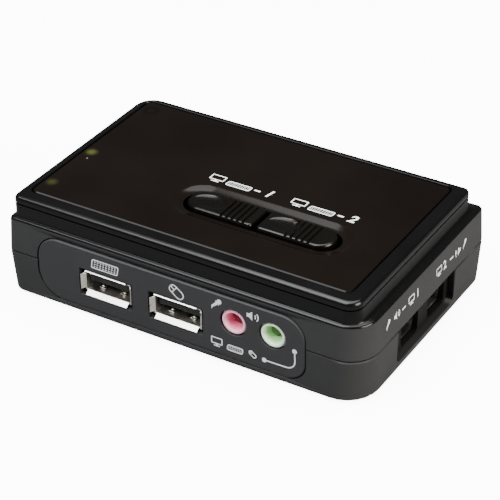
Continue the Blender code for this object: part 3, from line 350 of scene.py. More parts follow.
def textured_plastic(name, base, grain, deep=None):
    """Satin spark-textured plastic of the case walls; darker inside the box given as deep, as
    painted shade.
    """
    skin = Skin(name, base, 0.5, grain, WALL_BROAD, Specular_IOR_Level=WALL_SHEEN)
    mix = skin.shades(0.92, 1.08)
    if deep:
        # painted shade: inside the box the colour drops to 0.12 of the base
        inside = box_mask(skin.tree, skin.coords, deep)
        mix = mix_colours(skin.tree, inside, mix, shaded(base, 0.12))
    skin.dust(mix, 5.5 * MM, 0.16, (0.17, 0.17, 0.16))
    skin.roughness(0.46, 0.56)
    skin.relief(*WALL_BUMP)
    return skin.material


def two_finish_plastic(name, wall, gloss, grain, height):
    """Textured up to a height and polished black above it, as one moulding."""
    skin = Skin(name, wall, 0.5, grain, WALL_BROAD, Specular_IOR_Level=WALL_SHEEN)
    level = put(skin.tree, "ShaderNodeSeparateXYZ", Vector=skin.coords).outputs["Z"]
    above = remap(skin.tree, level, (height - FINISH_BAND, height + FINISH_BAND))
    mix = mix_colours(skin.tree, above, skin.shades(0.92, 1.08), gloss)
    skin.dust(mix, 5.5 * MM, 0.16, (0.14, 0.14, 0.13))
    skin.give("Roughness", remap(skin.tree, above, (0.0, 1.0), (0.5, 0.2)))
    fade = remap(skin.tree, above, (0.0, 1.0), (1.0, 0.04))
    skin.relief(*WALL_BUMP, maths(skin.tree, "MULTIPLY", skin.height, fade))
    return skin.material


def polished_plastic(name, base, roughness, specks=0.10):
    """Polished black plastic with a faint unevenness and a little dust."""
    skin = Skin(name, base, roughness, 0.8 * MM, 0.020, Specular_IOR_Level=0.25)
    skin.dust(skin.shades(0.85, 1.15), 6.5 * MM, specks, (0.12, 0.12, 0.11))
    skin.roughness(roughness * 0.85, roughness * 1.2)
    skin.relief(0.03, 0.01 * MM)
    return skin.material


def smoked_acrylic(name, look, lights, boss):
    """Near-black window: two lights and a moulded boss show faintly through it."""
    skin = Skin(
        name, look.tint, 0.16, 1.2 * MM, 0.030, Specular_IOR_Level=0.13, Emission_Strength=1.0
    )
    tree = skin.tree
    outer, inner = (
        place_group(tree, spot_group(), skin.coords, Centre=boss, Radius=radius)["Mask"]
        for radius in BOSS_RING
    )
    ring = maths(tree, "SUBTRACT", outer, inner, clamp=True)
    mix = mix_colours(tree, ring, skin.shades(0.8, 1.25), shaded(look.tint, 0.25))
    skin.dust(mix, 6.0 * MM, 0.22, (0.10, 0.09, 0.085))
    skin.roughness(0.12, 0.20)
    total = 0.0
    for centre, power in lights:
        spot = place_group(
            tree, spot_group(), skin.coords, Centre=centre, Radius=look.glow_radius
        )
        core = maths(tree, "POWER", spot["Mask"], 1.6)
        total = maths(tree, "MULTIPLY_ADD", core, look.glow_strength * power, total)
    skin.give("Emission Color", mix_colours(tree, total, BLACK, look.glow))
    skin.relief(0.02, 0.01 * MM)
    return skin.material


def plated_metal(name, base, roughness, drawn=True):
    """Nickel or gold plating with a soft tarnish, and fine lines where the sheet was drawn."""
    skin = Skin(name, base, roughness, 0.25 * MM, 0.004, Metallic=1.0)
    skin.shades(0.88, 1.06)
    skin.roughness(roughness * 0.8, roughness * 1.3)
    if drawn:
        stretch = put(
            skin.tree, "ShaderNodeMapping", Vector=skin.coords, Scale=(400.0, 400.0, 9000.0)
        )
        along = stretch.outputs["Vector"]
        lines = put(skin.tree, "ShaderNodeTexNoise", Vector=along, Scale=1.0, Detail=2.0)
        skin.relief(0.08, 0.01 * MM, lines.outputs["Fac"])
    else:
        skin.relief(0.06, 0.01 * MM)
    return skin.material


def plain_resin(name, base, roughness):
    """Moulded resin with a fine matte skin."""
    skin = Skin(name, base, roughness, 0.2 * MM, 0.003, Specular_IOR_Level=0.4)
    skin.shades(0.8, 1.2)
    skin.roughness(roughness * 0.85, min(roughness * 1.15, 1.0))
    skin.relief(0.2, 0.01 * MM)
    return skin.material


def jack_plastic(name, base, centre, rim_highlight):
    """Coloured jack with painted light: paler on its rim as a painted highlight, darker in its
    bore as painted shade, and a faint painted glow given as emission.
    """
    skin = Skin(
        name, base, 0.38, 0.3 * MM, 0.004, Specular_IOR_Level=0.5, Emission_Strength=0.07
    )
    tree = skin.tree
    flat = vector_maths(tree, "MULTIPLY", skin.coords, (1.0, 0.0, 1.0))
    away = vector_maths(tree, "DISTANCE", flat, (centre.x, 0.0, centre.z))
    # painted highlight on the rim and painted shade in the bore, by the distance from the bore's
    # axis
    edge = remap(tree, away, JACK_RIM, kind="SMOOTHSTEP")
    pale = [(1.0 - rim_highlight) * part + rim_highlight for part in base]
    mix = mix_colours(tree, edge, shaded(base, 0.85), pale)
    worn = remap(tree, skin.mottle, (0.0, 1.0), (0.0, 0.12))
    mix = mix_colours(tree, worn, mix, shaded(base, 0.5))
    # the colour also goes to emission: a faint painted glow
    for label in ("Base Color", "Emission Color"):
        skin.give(label, mix)
    skin.roughness(0.32, 0.44)
    skin.relief(0.06, 0.01 * MM)
    return skin.material


def printed_ink(name, base):
    """Screen print: pale, a little uneven in cover."""
    skin = Skin(name, base, 0.55, 0.15 * MM, 0.0012)
    skin.shades(0.86, 1.05)
    skin.relief(0.1, 0.005 * MM)
    return skin.material


def laminate(name):
    """Green board with a faint pattern of tracks under its mask."""
    skin = Skin(name, (0.015, 0.11, 0.05), 0.35, 0.2 * MM, 0.003)
    tracks = put(
        skin.tree, "ShaderNodeTexVoronoi", distance="CHEBYCHEV", feature="DISTANCE_TO_EDGE",
        Vector=skin.coords, Scale=260.0,
    )
    edge = remap(skin.tree, tracks.outputs["Distance"], (0.03, 0.08))
    skin.give("Base Color", mix_colours(skin.tree, edge, (0.03, 0.19, 0.08), (0.010, 0.085, 0.04)))
    skin.relief(0.15, 0.02 * MM, edge)
    return skin.material


# ---------------------------------------------------------------- mesh helpers

SMOOTH_BELOW = 32.0
ROUND_ABOVE = radians(40)
WELD = 0.002 * MM
FLAT = radians(0.3)


def finish_piece(
    name, bm, material, body=CASE, stands_for=(), smooth=SMOOTH_BELOW,
    rounding=0.0,
):
    """Turns a bmesh in metres into a piece that rides on a body and may stand for CAD nodes."""
    mesh = bpy.data.meshes.new(name)
    bm.to_mesh(mesh)
    bm.free()
    piece = bpy.data.objects.new(name, mesh)
    bpy.context.scene.collection.objects.link(piece)
    mesh.materials.append(material)
    mesh.shade_smooth()
    if rounding:
        bevel = piece.modifiers.new("edge_rounding", "BEVEL")
        bevel.width = rounding
        bevel.segments = 2
        bevel.limit_method = "ANGLE"
        bevel.angle_limit = ROUND_ABOVE
        bevel.use_clamp_overlap = True
        bevel.harden_normals = True
    else:
        mesh.set_sharp_from_angle(angle=radians(smooth))
        weighted = piece.modifiers.new("even_shading", "WEIGHTED_NORMAL")
        weighted.keep_sharp = True
    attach(piece, body)
    if stands_for:
        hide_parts(*stands_for)
    return piece


def merged_copy(node):
    """The mesh of a CAD node with its loose triangles merged and its flat faces made whole."""
    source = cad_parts[node]
    bm = bmesh.new()
    bm.from_mesh(source.data)
    bm.transform(source.matrix_world)
    bmesh.ops.remove_doubles(bm, verts=bm.verts[:], dist=WELD)
    bmesh.ops.dissolve_limit(
        bm, angle_limit=FLAT, verts=bm.verts[:], edges=bm.edges[:], use_dissolve_boundaries=False
    )
    return bm


def dress(node, name, material, body=CASE, smooth=SMOOTH_BELOW, rounding=0.0):
    """A finished piece made from a CAD node, in its place."""
    return finish_piece(name, merged_copy(node), material, body, (node,), smooth, rounding)


def add_mesh(bm, part, matrix):
    """Moves a small bmesh into place and adds it to a larger one."""
    part.transform(matrix)
    scratch = bpy.data.meshes.new("scratch")
    part.to_mesh(scratch)
    part.free()
    bm.from_mesh(scratch)
    bpy.data.meshes.remove(scratch)


def box_of(node):
    low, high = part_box(node)
    return Vector(low), Vector(high)


def middle_of(node):
    low, high = box_of(node)
    return (low + high) / 2


def bar_part(wide, deep, tall, bevel=0.0):
    """A bar centred on the origin, in metres, with rounded edges."""
    part = bmesh.new()
    bmesh.ops.create_cube(part, size=1.0)
    bmesh.ops.scale(part, vec=(wide, deep, tall), verts=part.verts[:])
    if bevel:
        bmesh.ops.bevel(
            part, geom=part.edges[:], offset=bevel, segments=2, profile=0.5, affect="EDGES",
            material=-1,
        )
    return part


def round_part(radius, long, segments, capped=True):
    """A cylinder along Z about the origin."""
    part = bmesh.new()
    bmesh.ops.create_cone(
        part, cap_ends=capped, segments=segments, radius1=radius, radius2=radius, depth=long
    )
    return part


def dome_part(radius, squash, segments, rings):
    """A ball about the origin, stretched by three shares."""
    part = bmesh.new()
    bmesh.ops.create_uvsphere(part, u_segments=segments, v_segments=rings, radius=radius)
    bmesh.ops.scale(part, vec=squash, verts=part.verts[:])
    return part


def add_at(bm, part, spot, tilt=0.0):
    """Adds a part at a spot, turned about X by a tilt in degrees."""
    add_mesh(bm, part, Matrix.Translation(spot) @ Matrix.Rotation(radians(tilt), 4, "X"))


def contact_row(name, metal, bar, spots):
    """Alike flat contacts as one piece; bar gives their three sizes and their rounding."""
    bm = bmesh.new()
    for spot in spots:
        add_at(bm, bar_part(*bar), spot)
    finish_piece(name, bm, metal)


# ---------------------------------------------------------------- printed signs


class Sign:
    """Draws flat signs in millimetres on a plane given by its origin and two directions."""

    LAYERS = 5
    LAYER_STEP = 0.002
    MOUSE_TURN = radians(-38)

    def __init__(self, origin, right, up, thickness, stroke):
        self.bm = bmesh.new()
        right = Vector(right).normalized()
        up = Vector(up).normalized()
        out = right.cross(up)
        self.frame = Matrix.Translation(Vector(origin)) @ Matrix(
            (right, up, out)
        ).transposed().to_4x4()
        self.thickness = thickness / MM
        self.stroke = stroke / MM
        self.layer = 0

    def lay(self, part, at, turn=0.0, slant=0.0):
        """Places a flat part, already in millimetres, with each layer a hair above the last."""
        self.layer = (self.layer + 1) % self.LAYERS
        shear = Matrix(((1, slant, 0, 0), (0, 1, 0, 0), (0, 0, 1, 0), (0, 0, 0, 1)))
        lift = self.thickness / 2 + self.LAYER_STEP * self.layer
        spot = Matrix.Translation((at[0], at[1], lift)) @ Matrix.Rotation(turn, 4, "Z") @ shear
        add_mesh(self.bm, part, self.frame @ Matrix.Scale(MM, 4) @ spot)

    def bar(self, at, wide, tall, turn=0.0, slant=0.0):
        self.lay(bar_part(wide, tall, self.thickness), at, turn, slant)

    def line(self, start, end, width=None):
        """A straight stroke with round ends."""
        width = width or self.stroke
        start, end = Vector(start), Vector(end)
        run = end - start
        turn = Vector((1, 0)).angle_signed(run) if run.length else 0.0
        self.bar((start + end) / 2, run.length, width, -turn)
        self.dot(start, width / 2)
        self.dot(end, width / 2)

    def path(self, points, width=None):
        for start, end in zip(points, points[1:]):
            self.line(start, end, width)

    def dot(self, at, radius, segments=14):
        self.lay(round_part(radius, self.thickness, segments), at)

    def frame_mark(self, at, wide, tall, corner, width=None, turn=0.0, slant=0.0):
        """A rounded rectangle drawn as a line."""
        width = width or self.stroke
        part = bmesh.new()
        bmesh.ops.create_grid(part, x_segments=1, y_segments=1, size=0.5)
        bmesh.ops.scale(part, vec=(wide, tall, 1), verts=part.verts[:])
        bmesh.ops.bevel(
            part, geom=part.verts[:], offset=corner, segments=4, profile=0.5, affect="VERTICES",
            material=-1,
        )
        face = max(part.faces, key=lambda item: item.calc_area())
        bmesh.ops.inset_region(
            part, faces=[face], thickness=width, depth=0.0, use_even_offset=True, use_boundary=True
        )
        bmesh.ops.delete(part, geom=[face], context="FACES_ONLY")
        self.thicken(part)
        self.lay(part, at, turn, slant)

    def plate_mark(self, points, at=(0, 0), turn=0.0):
        """A filled outline."""
        part = bmesh.new()
        corners = [part.verts.new((u, v, 0)) for u, v in points]
        part.faces.new(corners)
        self.thicken(part)
        self.lay(part, at, turn)

    def arc(self, at, radius, start, sweep, width=None, steps=8):
        """Part of a ring, by spinning a short edge."""
        width = width or self.stroke
        part = bmesh.new()
        low = part.verts.new((radius - width / 2, 0, 0))
        high = part.verts.new((radius + width / 2, 0, 0))
        edge = part.edges.new((low, high))
        bmesh.ops.spin(
            part, geom=[low, high, edge], angle=sweep, steps=steps, axis=(0, 0, 1), cent=(0, 0, 0),
            use_merge=False,
        )
        self.thicken(part)
        self.lay(part, at, start)

    def thicken(self, part):
        """Gives flat faces the print's thickness, about their own plane."""
        result = bmesh.ops.extrude_face_region(part, geom=part.faces[:])
        moved = [item for item in result["geom"] if isinstance(item, bmesh.types.BMVert)]
        bmesh.ops.translate(part, verts=moved, vec=(0, 0, self.thickness))
        bmesh.ops.translate(part, verts=part.verts[:], vec=(0, 0, -self.thickness / 2))
        bmesh.ops.recalc_face_normals(part, faces=part.faces[:])

    def numeral(self, text, at, size, slant=0.0):
        """A numeral in Blender's own typeface, made a mesh."""
        words = bpy.data.curves.new("numeral", "FONT")
        words.body = text
        words.size = size
        words.align_x = "CENTER"
        words.align_y = "CENTER"
        words.offset = 0.02 * size
        words.extrude = self.thickness / 2
        words.resolution_u = 4
        holder = bpy.data.objects.new("numeral", words)
        bpy.context.scene.collection.objects.link(holder)
        mesh = bpy.data.meshes.new_from_object(holder)
        bpy.data.objects.remove(holder)
        bpy.data.curves.remove(words)
        part = bmesh.new()
        part.from_mesh(mesh)
        bpy.data.meshes.remove(mesh)
        bmesh.ops.remove_doubles(part, verts=part.verts[:], dist=0.0005)
        self.lay(part, at, 0.0, slant)

    # signs made from the strokes above

    def keyboard(self, at, wide, tall):
        self.frame_mark(at, wide, tall, 0.5, slant=0.15)
        key = wide / 10.5
        for row in range(3):
            for column in range(8):
                u = at[0] + (column - 3.5) * key * 1.12
                v = at[1] + (1 - row) * tall * 0.24
                self.bar((u + 0.15 * (v - at[1]), v), key * 0.6, tall * 0.09)

    def mouse(self, at, wide, tall):
        self.frame_mark(at, wide, tall, tall * 0.46, turn=self.MOUSE_TURN)
        side = Vector((cos(self.MOUSE_TURN), sin(self.MOUSE_TURN)))
        across = Vector((-side.y, side.x))
        split = Vector(at) - side * wide * 0.16
        self.line(split - across * tall * 0.42, split + across * tall * 0.42)
        self.line(Vector(at) - side * wide * 0.48, Vector(at) - side * wide * 0.18)

    def microphone(self, at, scale=1.0, turn=radians(42)):
        way = Vector((cos(turn), sin(turn)))
        side = Vector((-way.y, way.x))
        head = Vector(at) + way * 1.15 * scale
        self.dot(head, 0.66 * scale, 20)
        collar = head - way * 0.7 * scale
        self.line(collar - side * 0.62 * scale, collar + side * 0.62 * scale, 0.2 * scale)
        neck = head - way * 0.5 * scale
        tail = Vector(at) - way * 1.45 * scale
        thin, wide = side * 0.24 * scale, side * 0.42 * scale
        self.plate_mark([tail - thin, neck - wide, neck + wide, tail + thin])
        self.line(tail, tail + Vector((0.0, -0.55 * scale)), 0.2 * scale)

    def speaker(self, at, scale=1.0, face=1):
        """A loudspeaker; face is 1 with its waves on the right, -1 with them on the left."""
        u, v = at
        low = [(-1.7, -0.5), (-1.1, -0.5), (-0.25, -1.2)]
        outline = low + [(across, -rise) for across, rise in reversed(low)]
        size = face * scale
        self.plate_mark([(u + size * across, v + size * rise) for across, rise in outline])
        for radius in (0.75, 1.45):
            start = radians(-42 if face > 0 else 138)
            self.arc((u - face * 0.15 * scale, v), radius * scale, start, radians(84))

    def monitor(self, at, wide, tall):
        """A plain desktop screen on its foot."""
        u, v = at
        self.frame_mark((u, v + tall * 0.12), wide, tall * 0.76, 0.25)
        self.bar((u, v - tall * 0.34), wide * 0.14, tall * 0.2)
        self.bar((u, v - tall * 0.46), wide * 0.52, tall * 0.11)


# ---------------------------------------------------------------- pieces


class KVM_OT_shells(bpy.types.Operator):
    """Lower and upper case shells and the socket plate"""

    bl_idname = "kvm.shells"
    bl_label = "Case shells"

    POCKET_DEEP = 8.0 * MM
    POCKET_FRONT, POCKET_BACK = 6.2 * MM, 3.6 * MM
    FLOOR, PAST_SEAM, SKIN = 1.6 * MM, 1.0 * MM, 0.35 * MM

    def execute(self, context):
        look = context.scene.kvm_shell
        both = two_finish_plastic(
            "wall_and_shoulder", look.wall_colour, look.gloss_colour, look.grain_size,
            look.wall_top,
        )
        plate = textured_plastic("socket_plate_plastic", look.plate_colour, look.grain_size * 0.7)
        low, high = box_of("lower_shell")
        first, last = box_of("mini_socket_shell_1"), box_of("mini_socket_shell_2")
        # the pocket's box, where the lower wall gets painted shade
        pocket = (
            (high.x - self.POCKET_DEEP, first[0].y - self.POCKET_FRONT, low.z + self.FLOOR),
            (high.x - self.SKIN, last[1].y + self.POCKET_BACK, high.z + self.PAST_SEAM),
        )
        inner = textured_plastic("lower_wall_pocket_shade", look.wall_colour, look.grain_size, pocket)
        dress("lower_shell", "lower_case", inner)
        dress("upper_shell", "upper_case", both)
        dress("front_socket_plate", "socket_plate", plate)
        return {"FINISHED"}


class KVM_OT_cover(bpy.types.Operator):
    """Polished cover and the smoked window in it"""

    bl_idname = "kvm.cover"
    bl_label = "Cover and window"

    LIGHT_POWER = ((2, 1.0), (1, 0.45))
    BOSS_IN = (3.2 * MM, 4.2 * MM)

    def execute(self, context):
        look = context.scene.kvm_shell
        window = context.scene.kvm_window
        dress("top_tray", "top_cover", polished_plastic("cover_gloss", look.gloss_colour, 0.2))
        low, high = box_of("smoked_panel")
        lights = []
        for number, power in self.LIGHT_POWER:
            spot = middle_of(f"light_pipe_{number}")
            lights.append(((spot.x, spot.y, high.z), power))
        boss = (low.x + self.BOSS_IN[0], high.y - self.BOSS_IN[1], high.z)
        smoke = smoked_acrylic("smoked_window", window, lights, boss)
        dress("smoked_panel", "smoked_window", smoke)
        return {"FINISHED"}


class KVM_OT_keys(bpy.types.Operator):
    """The two select keys"""

    bl_idname = "kvm.keys"
    bl_label = "Select keys"

    SMOOTH_RIBS = 28

    def execute(self, context):
        finish = polished_plastic("key_gloss", (0.0026, 0.0020, 0.0014), 0.22, 0.05)
        for number in (1, 2):
            body = f"button_{number}"
            dress(f"select_{body}", f"select_key_{number}", finish, body, self.SMOOTH_RIBS)
        return {"FINISHED"}


class KVM_OT_usb(bpy.types.Operator):
    """Console sockets: folded shells, inserts, springs and contacts"""

    bl_idname = "kvm.usb"
    bl_label = "USB sockets"

    TONGUE_UNDERSIDE = 2.2 * MM  # below the insert's top
    LIP_DROP = 1.0 * MM  # from the flared lip to the wall behind it

    def execute(self, context):
        look = context.scene.kvm_sockets
        nickel = plated_metal("socket_nickel", look.nickel, 0.34)
        spring = plated_metal("spring_nickel", look.nickel, 0.18, False)
        resin = plain_resin("socket_resin", look.resin, 0.5)
        gold = plated_metal("contact_gold", look.gold, 0.25, False)
        for number in (1, 2):
            dress(f"usb_socket_shell_{number}", f"usb_shell_{number}", nickel)
            dress(f"usb_socket_insert_{number}", f"usb_block_{number}", resin)
            self.add_contacts(number, gold)
            self.add_springs(number, spring)
        return {"FINISHED"}

    def add_contacts(self, number, gold):
        """Four flat contacts under the tongue."""
        low, high = box_of(f"usb_socket_insert_{number}")
        middle = (low.x + high.x) / 2
        place = (low.y + 4.6 * MM, high.z - self.TONGUE_UNDERSIDE - 0.06 * MM)
        spots = [(middle + step * MM, *place) for step in (-3.5, -1.0, 1.0, 3.5)]
        contact_row(
            f"usb_contacts_{number}", gold, (1.0 * MM, 7.4 * MM, 0.18 * MM, 0.05 * MM), spots
        )

    def add_springs(self, number, metal):
        """Leaf springs with domed noses, stamped from the shell's floor and roof."""
        low, high = box_of(f"usb_socket_shell_{number}")
        middle = (low.x + high.x) / 2
        nose_y = low.y + 3.9 * MM
        leaf_y = nose_y + 1.8 * MM
        bm = bmesh.new()
        for wall_z, way in ((low.z + self.LIP_DROP, 1), (high.z - self.LIP_DROP, -1)):
            for step in (-3.0, 3.0):
                u = middle + step * MM
                leaf = bar_part(1.5 * MM, 5.6 * MM, 0.16 * MM, 0.05 * MM)
                add_at(bm, leaf, (u, leaf_y, wall_z + way * 0.16 * MM), -4.0 * way)
                nose = dome_part(0.72 * MM, (1.0, 1.0, 0.75), 16, 10)
                add_at(bm, nose, (u, nose_y, wall_z + way * 0.30 * MM))
        finish_piece(f"usb_springs_{number}", bm, metal)


class KVM_OT_jacks(bpy.types.Operator):
    """Coloured audio jacks with a spring contact in each bore"""

    bl_idname = "kvm.jacks"
    bl_label = "Audio jacks"

    AXIS_BELOW_TOP = 4.3 * MM
    SPRING_SPOT = Vector((0.0, 5.0 * MM, -1.25 * MM))
    RING_SPOT = Vector((0.0, 3.4 * MM, 0.0))

    def execute(self, context):
        look = context.scene.kvm_sockets
        metal = plated_metal("jack_spring", look.nickel, 0.2, False)
        for node, name, base, rim_highlight in (
            ("mic_jack", "mic_socket", look.mic, 0.38),
            ("speaker_jack", "speaker_socket", look.speaker, 0.6),
        ):
            low, high = box_of(node)
            centre = Vector(((low.x + high.x) / 2, low.y, high.z - self.AXIS_BELOW_TOP))
            dress(node, name, jack_plastic(name + "_plastic", base, centre, rim_highlight))
            bm = bmesh.new()
            leaf = bar_part(0.9 * MM, 3.0 * MM, 0.2 * MM, 0.06 * MM)
            add_at(bm, leaf, centre + self.SPRING_SPOT, -12.0)
            ring = round_part(1.86 * MM, 1.6 * MM, 32, False)
            bmesh.ops.solidify(ring, geom=ring.faces[:], thickness=0.12 * MM)
            bmesh.ops.recalc_face_normals(ring, faces=ring.faces[:])
            add_at(bm, ring, centre + self.RING_SPOT, 90.0)
            finish_piece(name + "_contact", bm, metal)
        return {"FINISHED"}


class KVM_OT_side_sockets(bpy.types.Operator):
    """Mini sockets in the side pocket"""

    bl_idname = "kvm.side_sockets"
    bl_label = "Side sockets"

    def execute(self, context):
        look = context.scene.kvm_sockets
        # nickel at half brightness: painted shade of the pocket these shells sit in
        nickel = plated_metal("mini_nickel_painted_shade", [0.5 * c for c in look.nickel], 0.3)
        resin = plain_resin("mini_resin", look.resin, 0.5)
        gold = plated_metal("mini_gold", look.gold, 0.25, False)
        for number in (1, 2):
            dress(f"mini_socket_shell_{number}", f"mini_shell_{number}", nickel)
            dress(f"mini_socket_insert_{number}", f"mini_block_{number}", resin)
            low, high = box_of(f"mini_socket_insert_{number}")
            middle = (low.y + high.y) / 2
            spots = [
                (high.x - 2.9 * MM, middle + step * MM, high.z - 1.32 * MM)
                for step in (-1.6, -0.8, 0.0, 0.8, 1.6)
            ]
            bar = (4.6 * MM, 0.4 * MM, 0.14 * MM, 0.04 * MM)
            contact_row(f"mini_contacts_{number}", gold, bar, spots)
        return {"FINISHED"}


class KVM_OT_video(bpy.types.Operator):
    """Rear video sockets: shells with dimples, inserts, contacts and jackscrews"""

    bl_idname = "kvm.video"
    bl_label = "Video sockets"

    PIN_PITCH = 2.29 * MM
    ROW_PITCH = 1.98 * MM

    def execute(self, context):
        look = context.scene.kvm_sockets
        nickel = plated_metal("video_nickel", look.nickel, 0.3)
        bright = plated_metal("jackscrew_nickel", look.nickel, 0.2, False)
        blue = plain_resin("video_resin", look.video_resin, 0.42)
        gold = plated_metal("video_gold", look.gold, 0.25, False)
        for number in (1, 2, 3):
            dress(f"video_shell_{number}", f"video_metal_{number}", nickel)
            dress(f"video_insert_{number}", f"video_block_{number}", blue)
            self.add_dimples(number, nickel)
            self.add_cups(number, gold)
        for number in range(1, 7):
            dress(f"jackscrew_{number}", f"hex_post_{number}", bright)
        return {"FINISHED"}

    def add_dimples(self, number, metal):
        """Grounding dimples along the long sides of the D, standing a little proud of it."""
        middle, back = middle_of(f"video_shell_{number}"), box_of(f"video_shell_{number}")[1].y
        bm = bmesh.new()
        for step in (-4.5, -1.5, 1.5, 4.5):
            for way in (-1, 1):
                part = dome_part(0.6 * MM, (1.0, 1.4, 0.35), 14, 8)
                spot = (middle.x + step * MM, back - 2.6 * MM, middle.z + way * 4.1 * MM)
                add_at(bm, part, spot)
        finish_piece(f"video_dimples_{number}", bm, metal)

    def add_cups(self, number, metal):
        """A gold cup at the bottom of each of the fifteen contact holes."""
        middle, back = middle_of(f"video_shell_{number}"), box_of(f"video_shell_{number}")[1].y
        bm = bmesh.new()
        for row in (-1, 0, 1):
            shift = -0.25 if row == 0 else 0.25
            for column in (-2, -1, 0, 1, 2):
                u = middle.x + (column + shift) * self.PIN_PITCH
                v = middle.z + row * self.ROW_PITCH
                part = round_part(0.42 * MM, 1.6 * MM, 12)
                caps = [face for face in part.faces if len(face.verts) > 4]
                bmesh.ops.inset_region(part, faces=caps, thickness=0.16 * MM, depth=-0.5 * MM)
                add_at(bm, part, (u, back - 2.2 * MM, v), 90.0)
        finish_piece(f"video_cups_{number}", bm, metal)


class KVM_OT_small_parts(bpy.types.Operator):
    """Screws, feet and the board with its parts"""

    bl_idname = "kvm.small_parts"
    bl_label = "Screws, feet and board"

    def execute(self, context):
        look = context.scene.kvm_sockets
        zinc = plated_metal("black_zinc", (0.16, 0.155, 0.15), 0.35, False)
        rubber = plain_resin("foot_rubber", (0.016, 0.016, 0.016), 0.85)
        for number in range(1, 5):
            dress(f"case_screw_{number}", f"screw_{number}", zinc)
            dress(f"rubber_foot_{number}", f"foot_{number}", rubber, rounding=0.12 * MM)
        finishes = {
            "circuit_board": laminate("board_laminate"),
            "controller_chip": plain_resin("chip_resin", (0.012, 0.012, 0.013), 0.6),
            "capacitor_1": plain_resin("capacitor_sleeve", (0.02, 0.02, 0.05), 0.35),
            "crystal": plated_metal("crystal_can", look.nickel, 0.3),
            "led_1": plain_resin("light_resin", (0.55, 0.72, 0.25), 0.3),
            "light_pipe_1": plain_resin("pipe_resin", (0.75, 0.78, 0.76), 0.12),
        }
        finishes["video_switch_chip"] = finishes["controller_chip"]
        finishes["capacitor_2"] = finishes["capacitor_1"]
        finishes["led_2"] = finishes["led_1"]
        finishes["light_pipe_2"] = finishes["light_pipe_1"]
        for number in (1, 2):
            finishes[f"tact_switch_{number}"] = finishes["crystal"]
            finishes[f"switch_plunger_{number}"] = finishes["controller_chip"]
        for node, finish in finishes.items():
            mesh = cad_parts[node].data
            mesh.materials.clear()
            mesh.materials.append(finish)
        return {"FINISHED"}


class KVM_OT_print(bpy.types.Operator):
    """Pale signs on the front plate, the side and the window"""

    bl_idname = "kvm.print_signs"
    bl_label = "Printed signs"

    LEAN = 0.5 / 8.35
    LEAN_FROM = 11.9 * MM
    SIDE_LEVEL = 16.6 * MM
    HALF_DEPTH = 31.55 * MM
    SIDE_PROUD = 0.012 * MM
    TOP_LEVEL = 0.35

    def execute(self, context):
        look = context.scene.kvm_print
        ink = printed_ink("sign_ink", look.ink)
        self.front_signs(look, ink)
        self.side_signs(look, ink)
        self.top_signs(look, ink)
        return {"FINISHED"}

    def front_signs(self, look, ink):
        """Origin at the middle of the case on the plate's face, at the shell's bottom."""
        face = box_of("front_socket_plate")[0].y
        base = box_of("lower_shell")[0].z
        sign = Sign((0, face, base), (1, 0, 0), (0, 0, 1), look.thickness, look.stroke)
        sign.keyboard((-20.1, 15.7), 7.6, 2.6)
        sign.mouse((-0.1, 15.6), 4.4, 2.5)
        sign.microphone((10.6, 16.1), 1.0)
        sign.speaker((20.5, 16.0), 1.0)
        sign.monitor((10.7, 5.5), 3.1, 2.5)
        sign.keyboard((15.6, 5.1), 4.3, 1.7)
        sign.mouse((20.3, 5.4), 2.3, 1.25)
        start, end = Vector((23.4, 5.0)), Vector((31.3, 10.2))
        turns = [radians(-90 + 15 * step) for step in range(7)]
        bend = [Vector((29.2, 7.3)) + 2.2 * Vector((cos(turn), sin(turn))) for turn in turns]
        sign.path([start] + bend + [end], 0.32)
        sign.dot(start, 0.62)
        sign.dot(end, 0.62)
        finish_piece("front_signs", sign.bm, ink)

    def side_signs(self, look, ink):
        """The wall leans in a little towards its top, so the signs lean with it."""
        wall = box_of("upper_shell")[1].x
        base = box_of("lower_shell")[0].z
        face = wall - (self.SIDE_LEVEL - self.LEAN_FROM) * self.LEAN + self.SIDE_PROUD
        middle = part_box("front_socket_plate")[0][1] + self.HALF_DEPTH
        sign = Sign(
            (face, middle, base + self.SIDE_LEVEL), (0, 1, 0), (-self.LEAN, 0, 1),
            look.thickness, look.stroke,
        )
        sign.microphone((-19.7, 0.0), 0.72, radians(48))
        sign.speaker((-15.2, 0.0), 0.9)
        sign.bar((-11.9, -0.1), 1.7, 0.42)
        sign.monitor((-8.1, -0.1), 2.9, 2.3)
        sign.numeral("1", (-4.9, -0.1), 3.1)
        sign.monitor((6.2, -0.5), 2.9, 2.3)
        sign.numeral("2", (9.3, -0.5), 3.1)
        sign.bar((12.9, -0.6), 1.7, 0.42)
        sign.speaker((16.2, -0.7), 0.9, -1)
        sign.microphone((20.0, -0.4), 0.72, radians(48))
        finish_piece("side_signs", sign.bm, ink)

    def top_signs(self, look, ink):
        """A screen, a keyboard, a dash and a numeral behind each key."""
        top = box_of("smoked_panel")[1].z
        sign = Sign((0, 0, top), (1, 0, 0), (0, 1, 0), look.thickness, look.stroke * 1.05)
        for number, start in ((1, -10.8), (2, 11.8)):
            sign.monitor((start + 1.9, self.TOP_LEVEL), 4.0, 3.0)
            sign.keyboard((start + 8.2, self.TOP_LEVEL - 0.5), 6.6, 2.0)
            sign.bar((start + 13.2, self.TOP_LEVEL - 0.2), 1.6, 0.5, slant=0.2)
            sign.numeral(str(number), (start + 16.5, self.TOP_LEVEL - 0.1), 4.1, 0.22)
        finish_piece("top_signs", sign.bm, ink)


# ---------------------------------------------------------------- stage


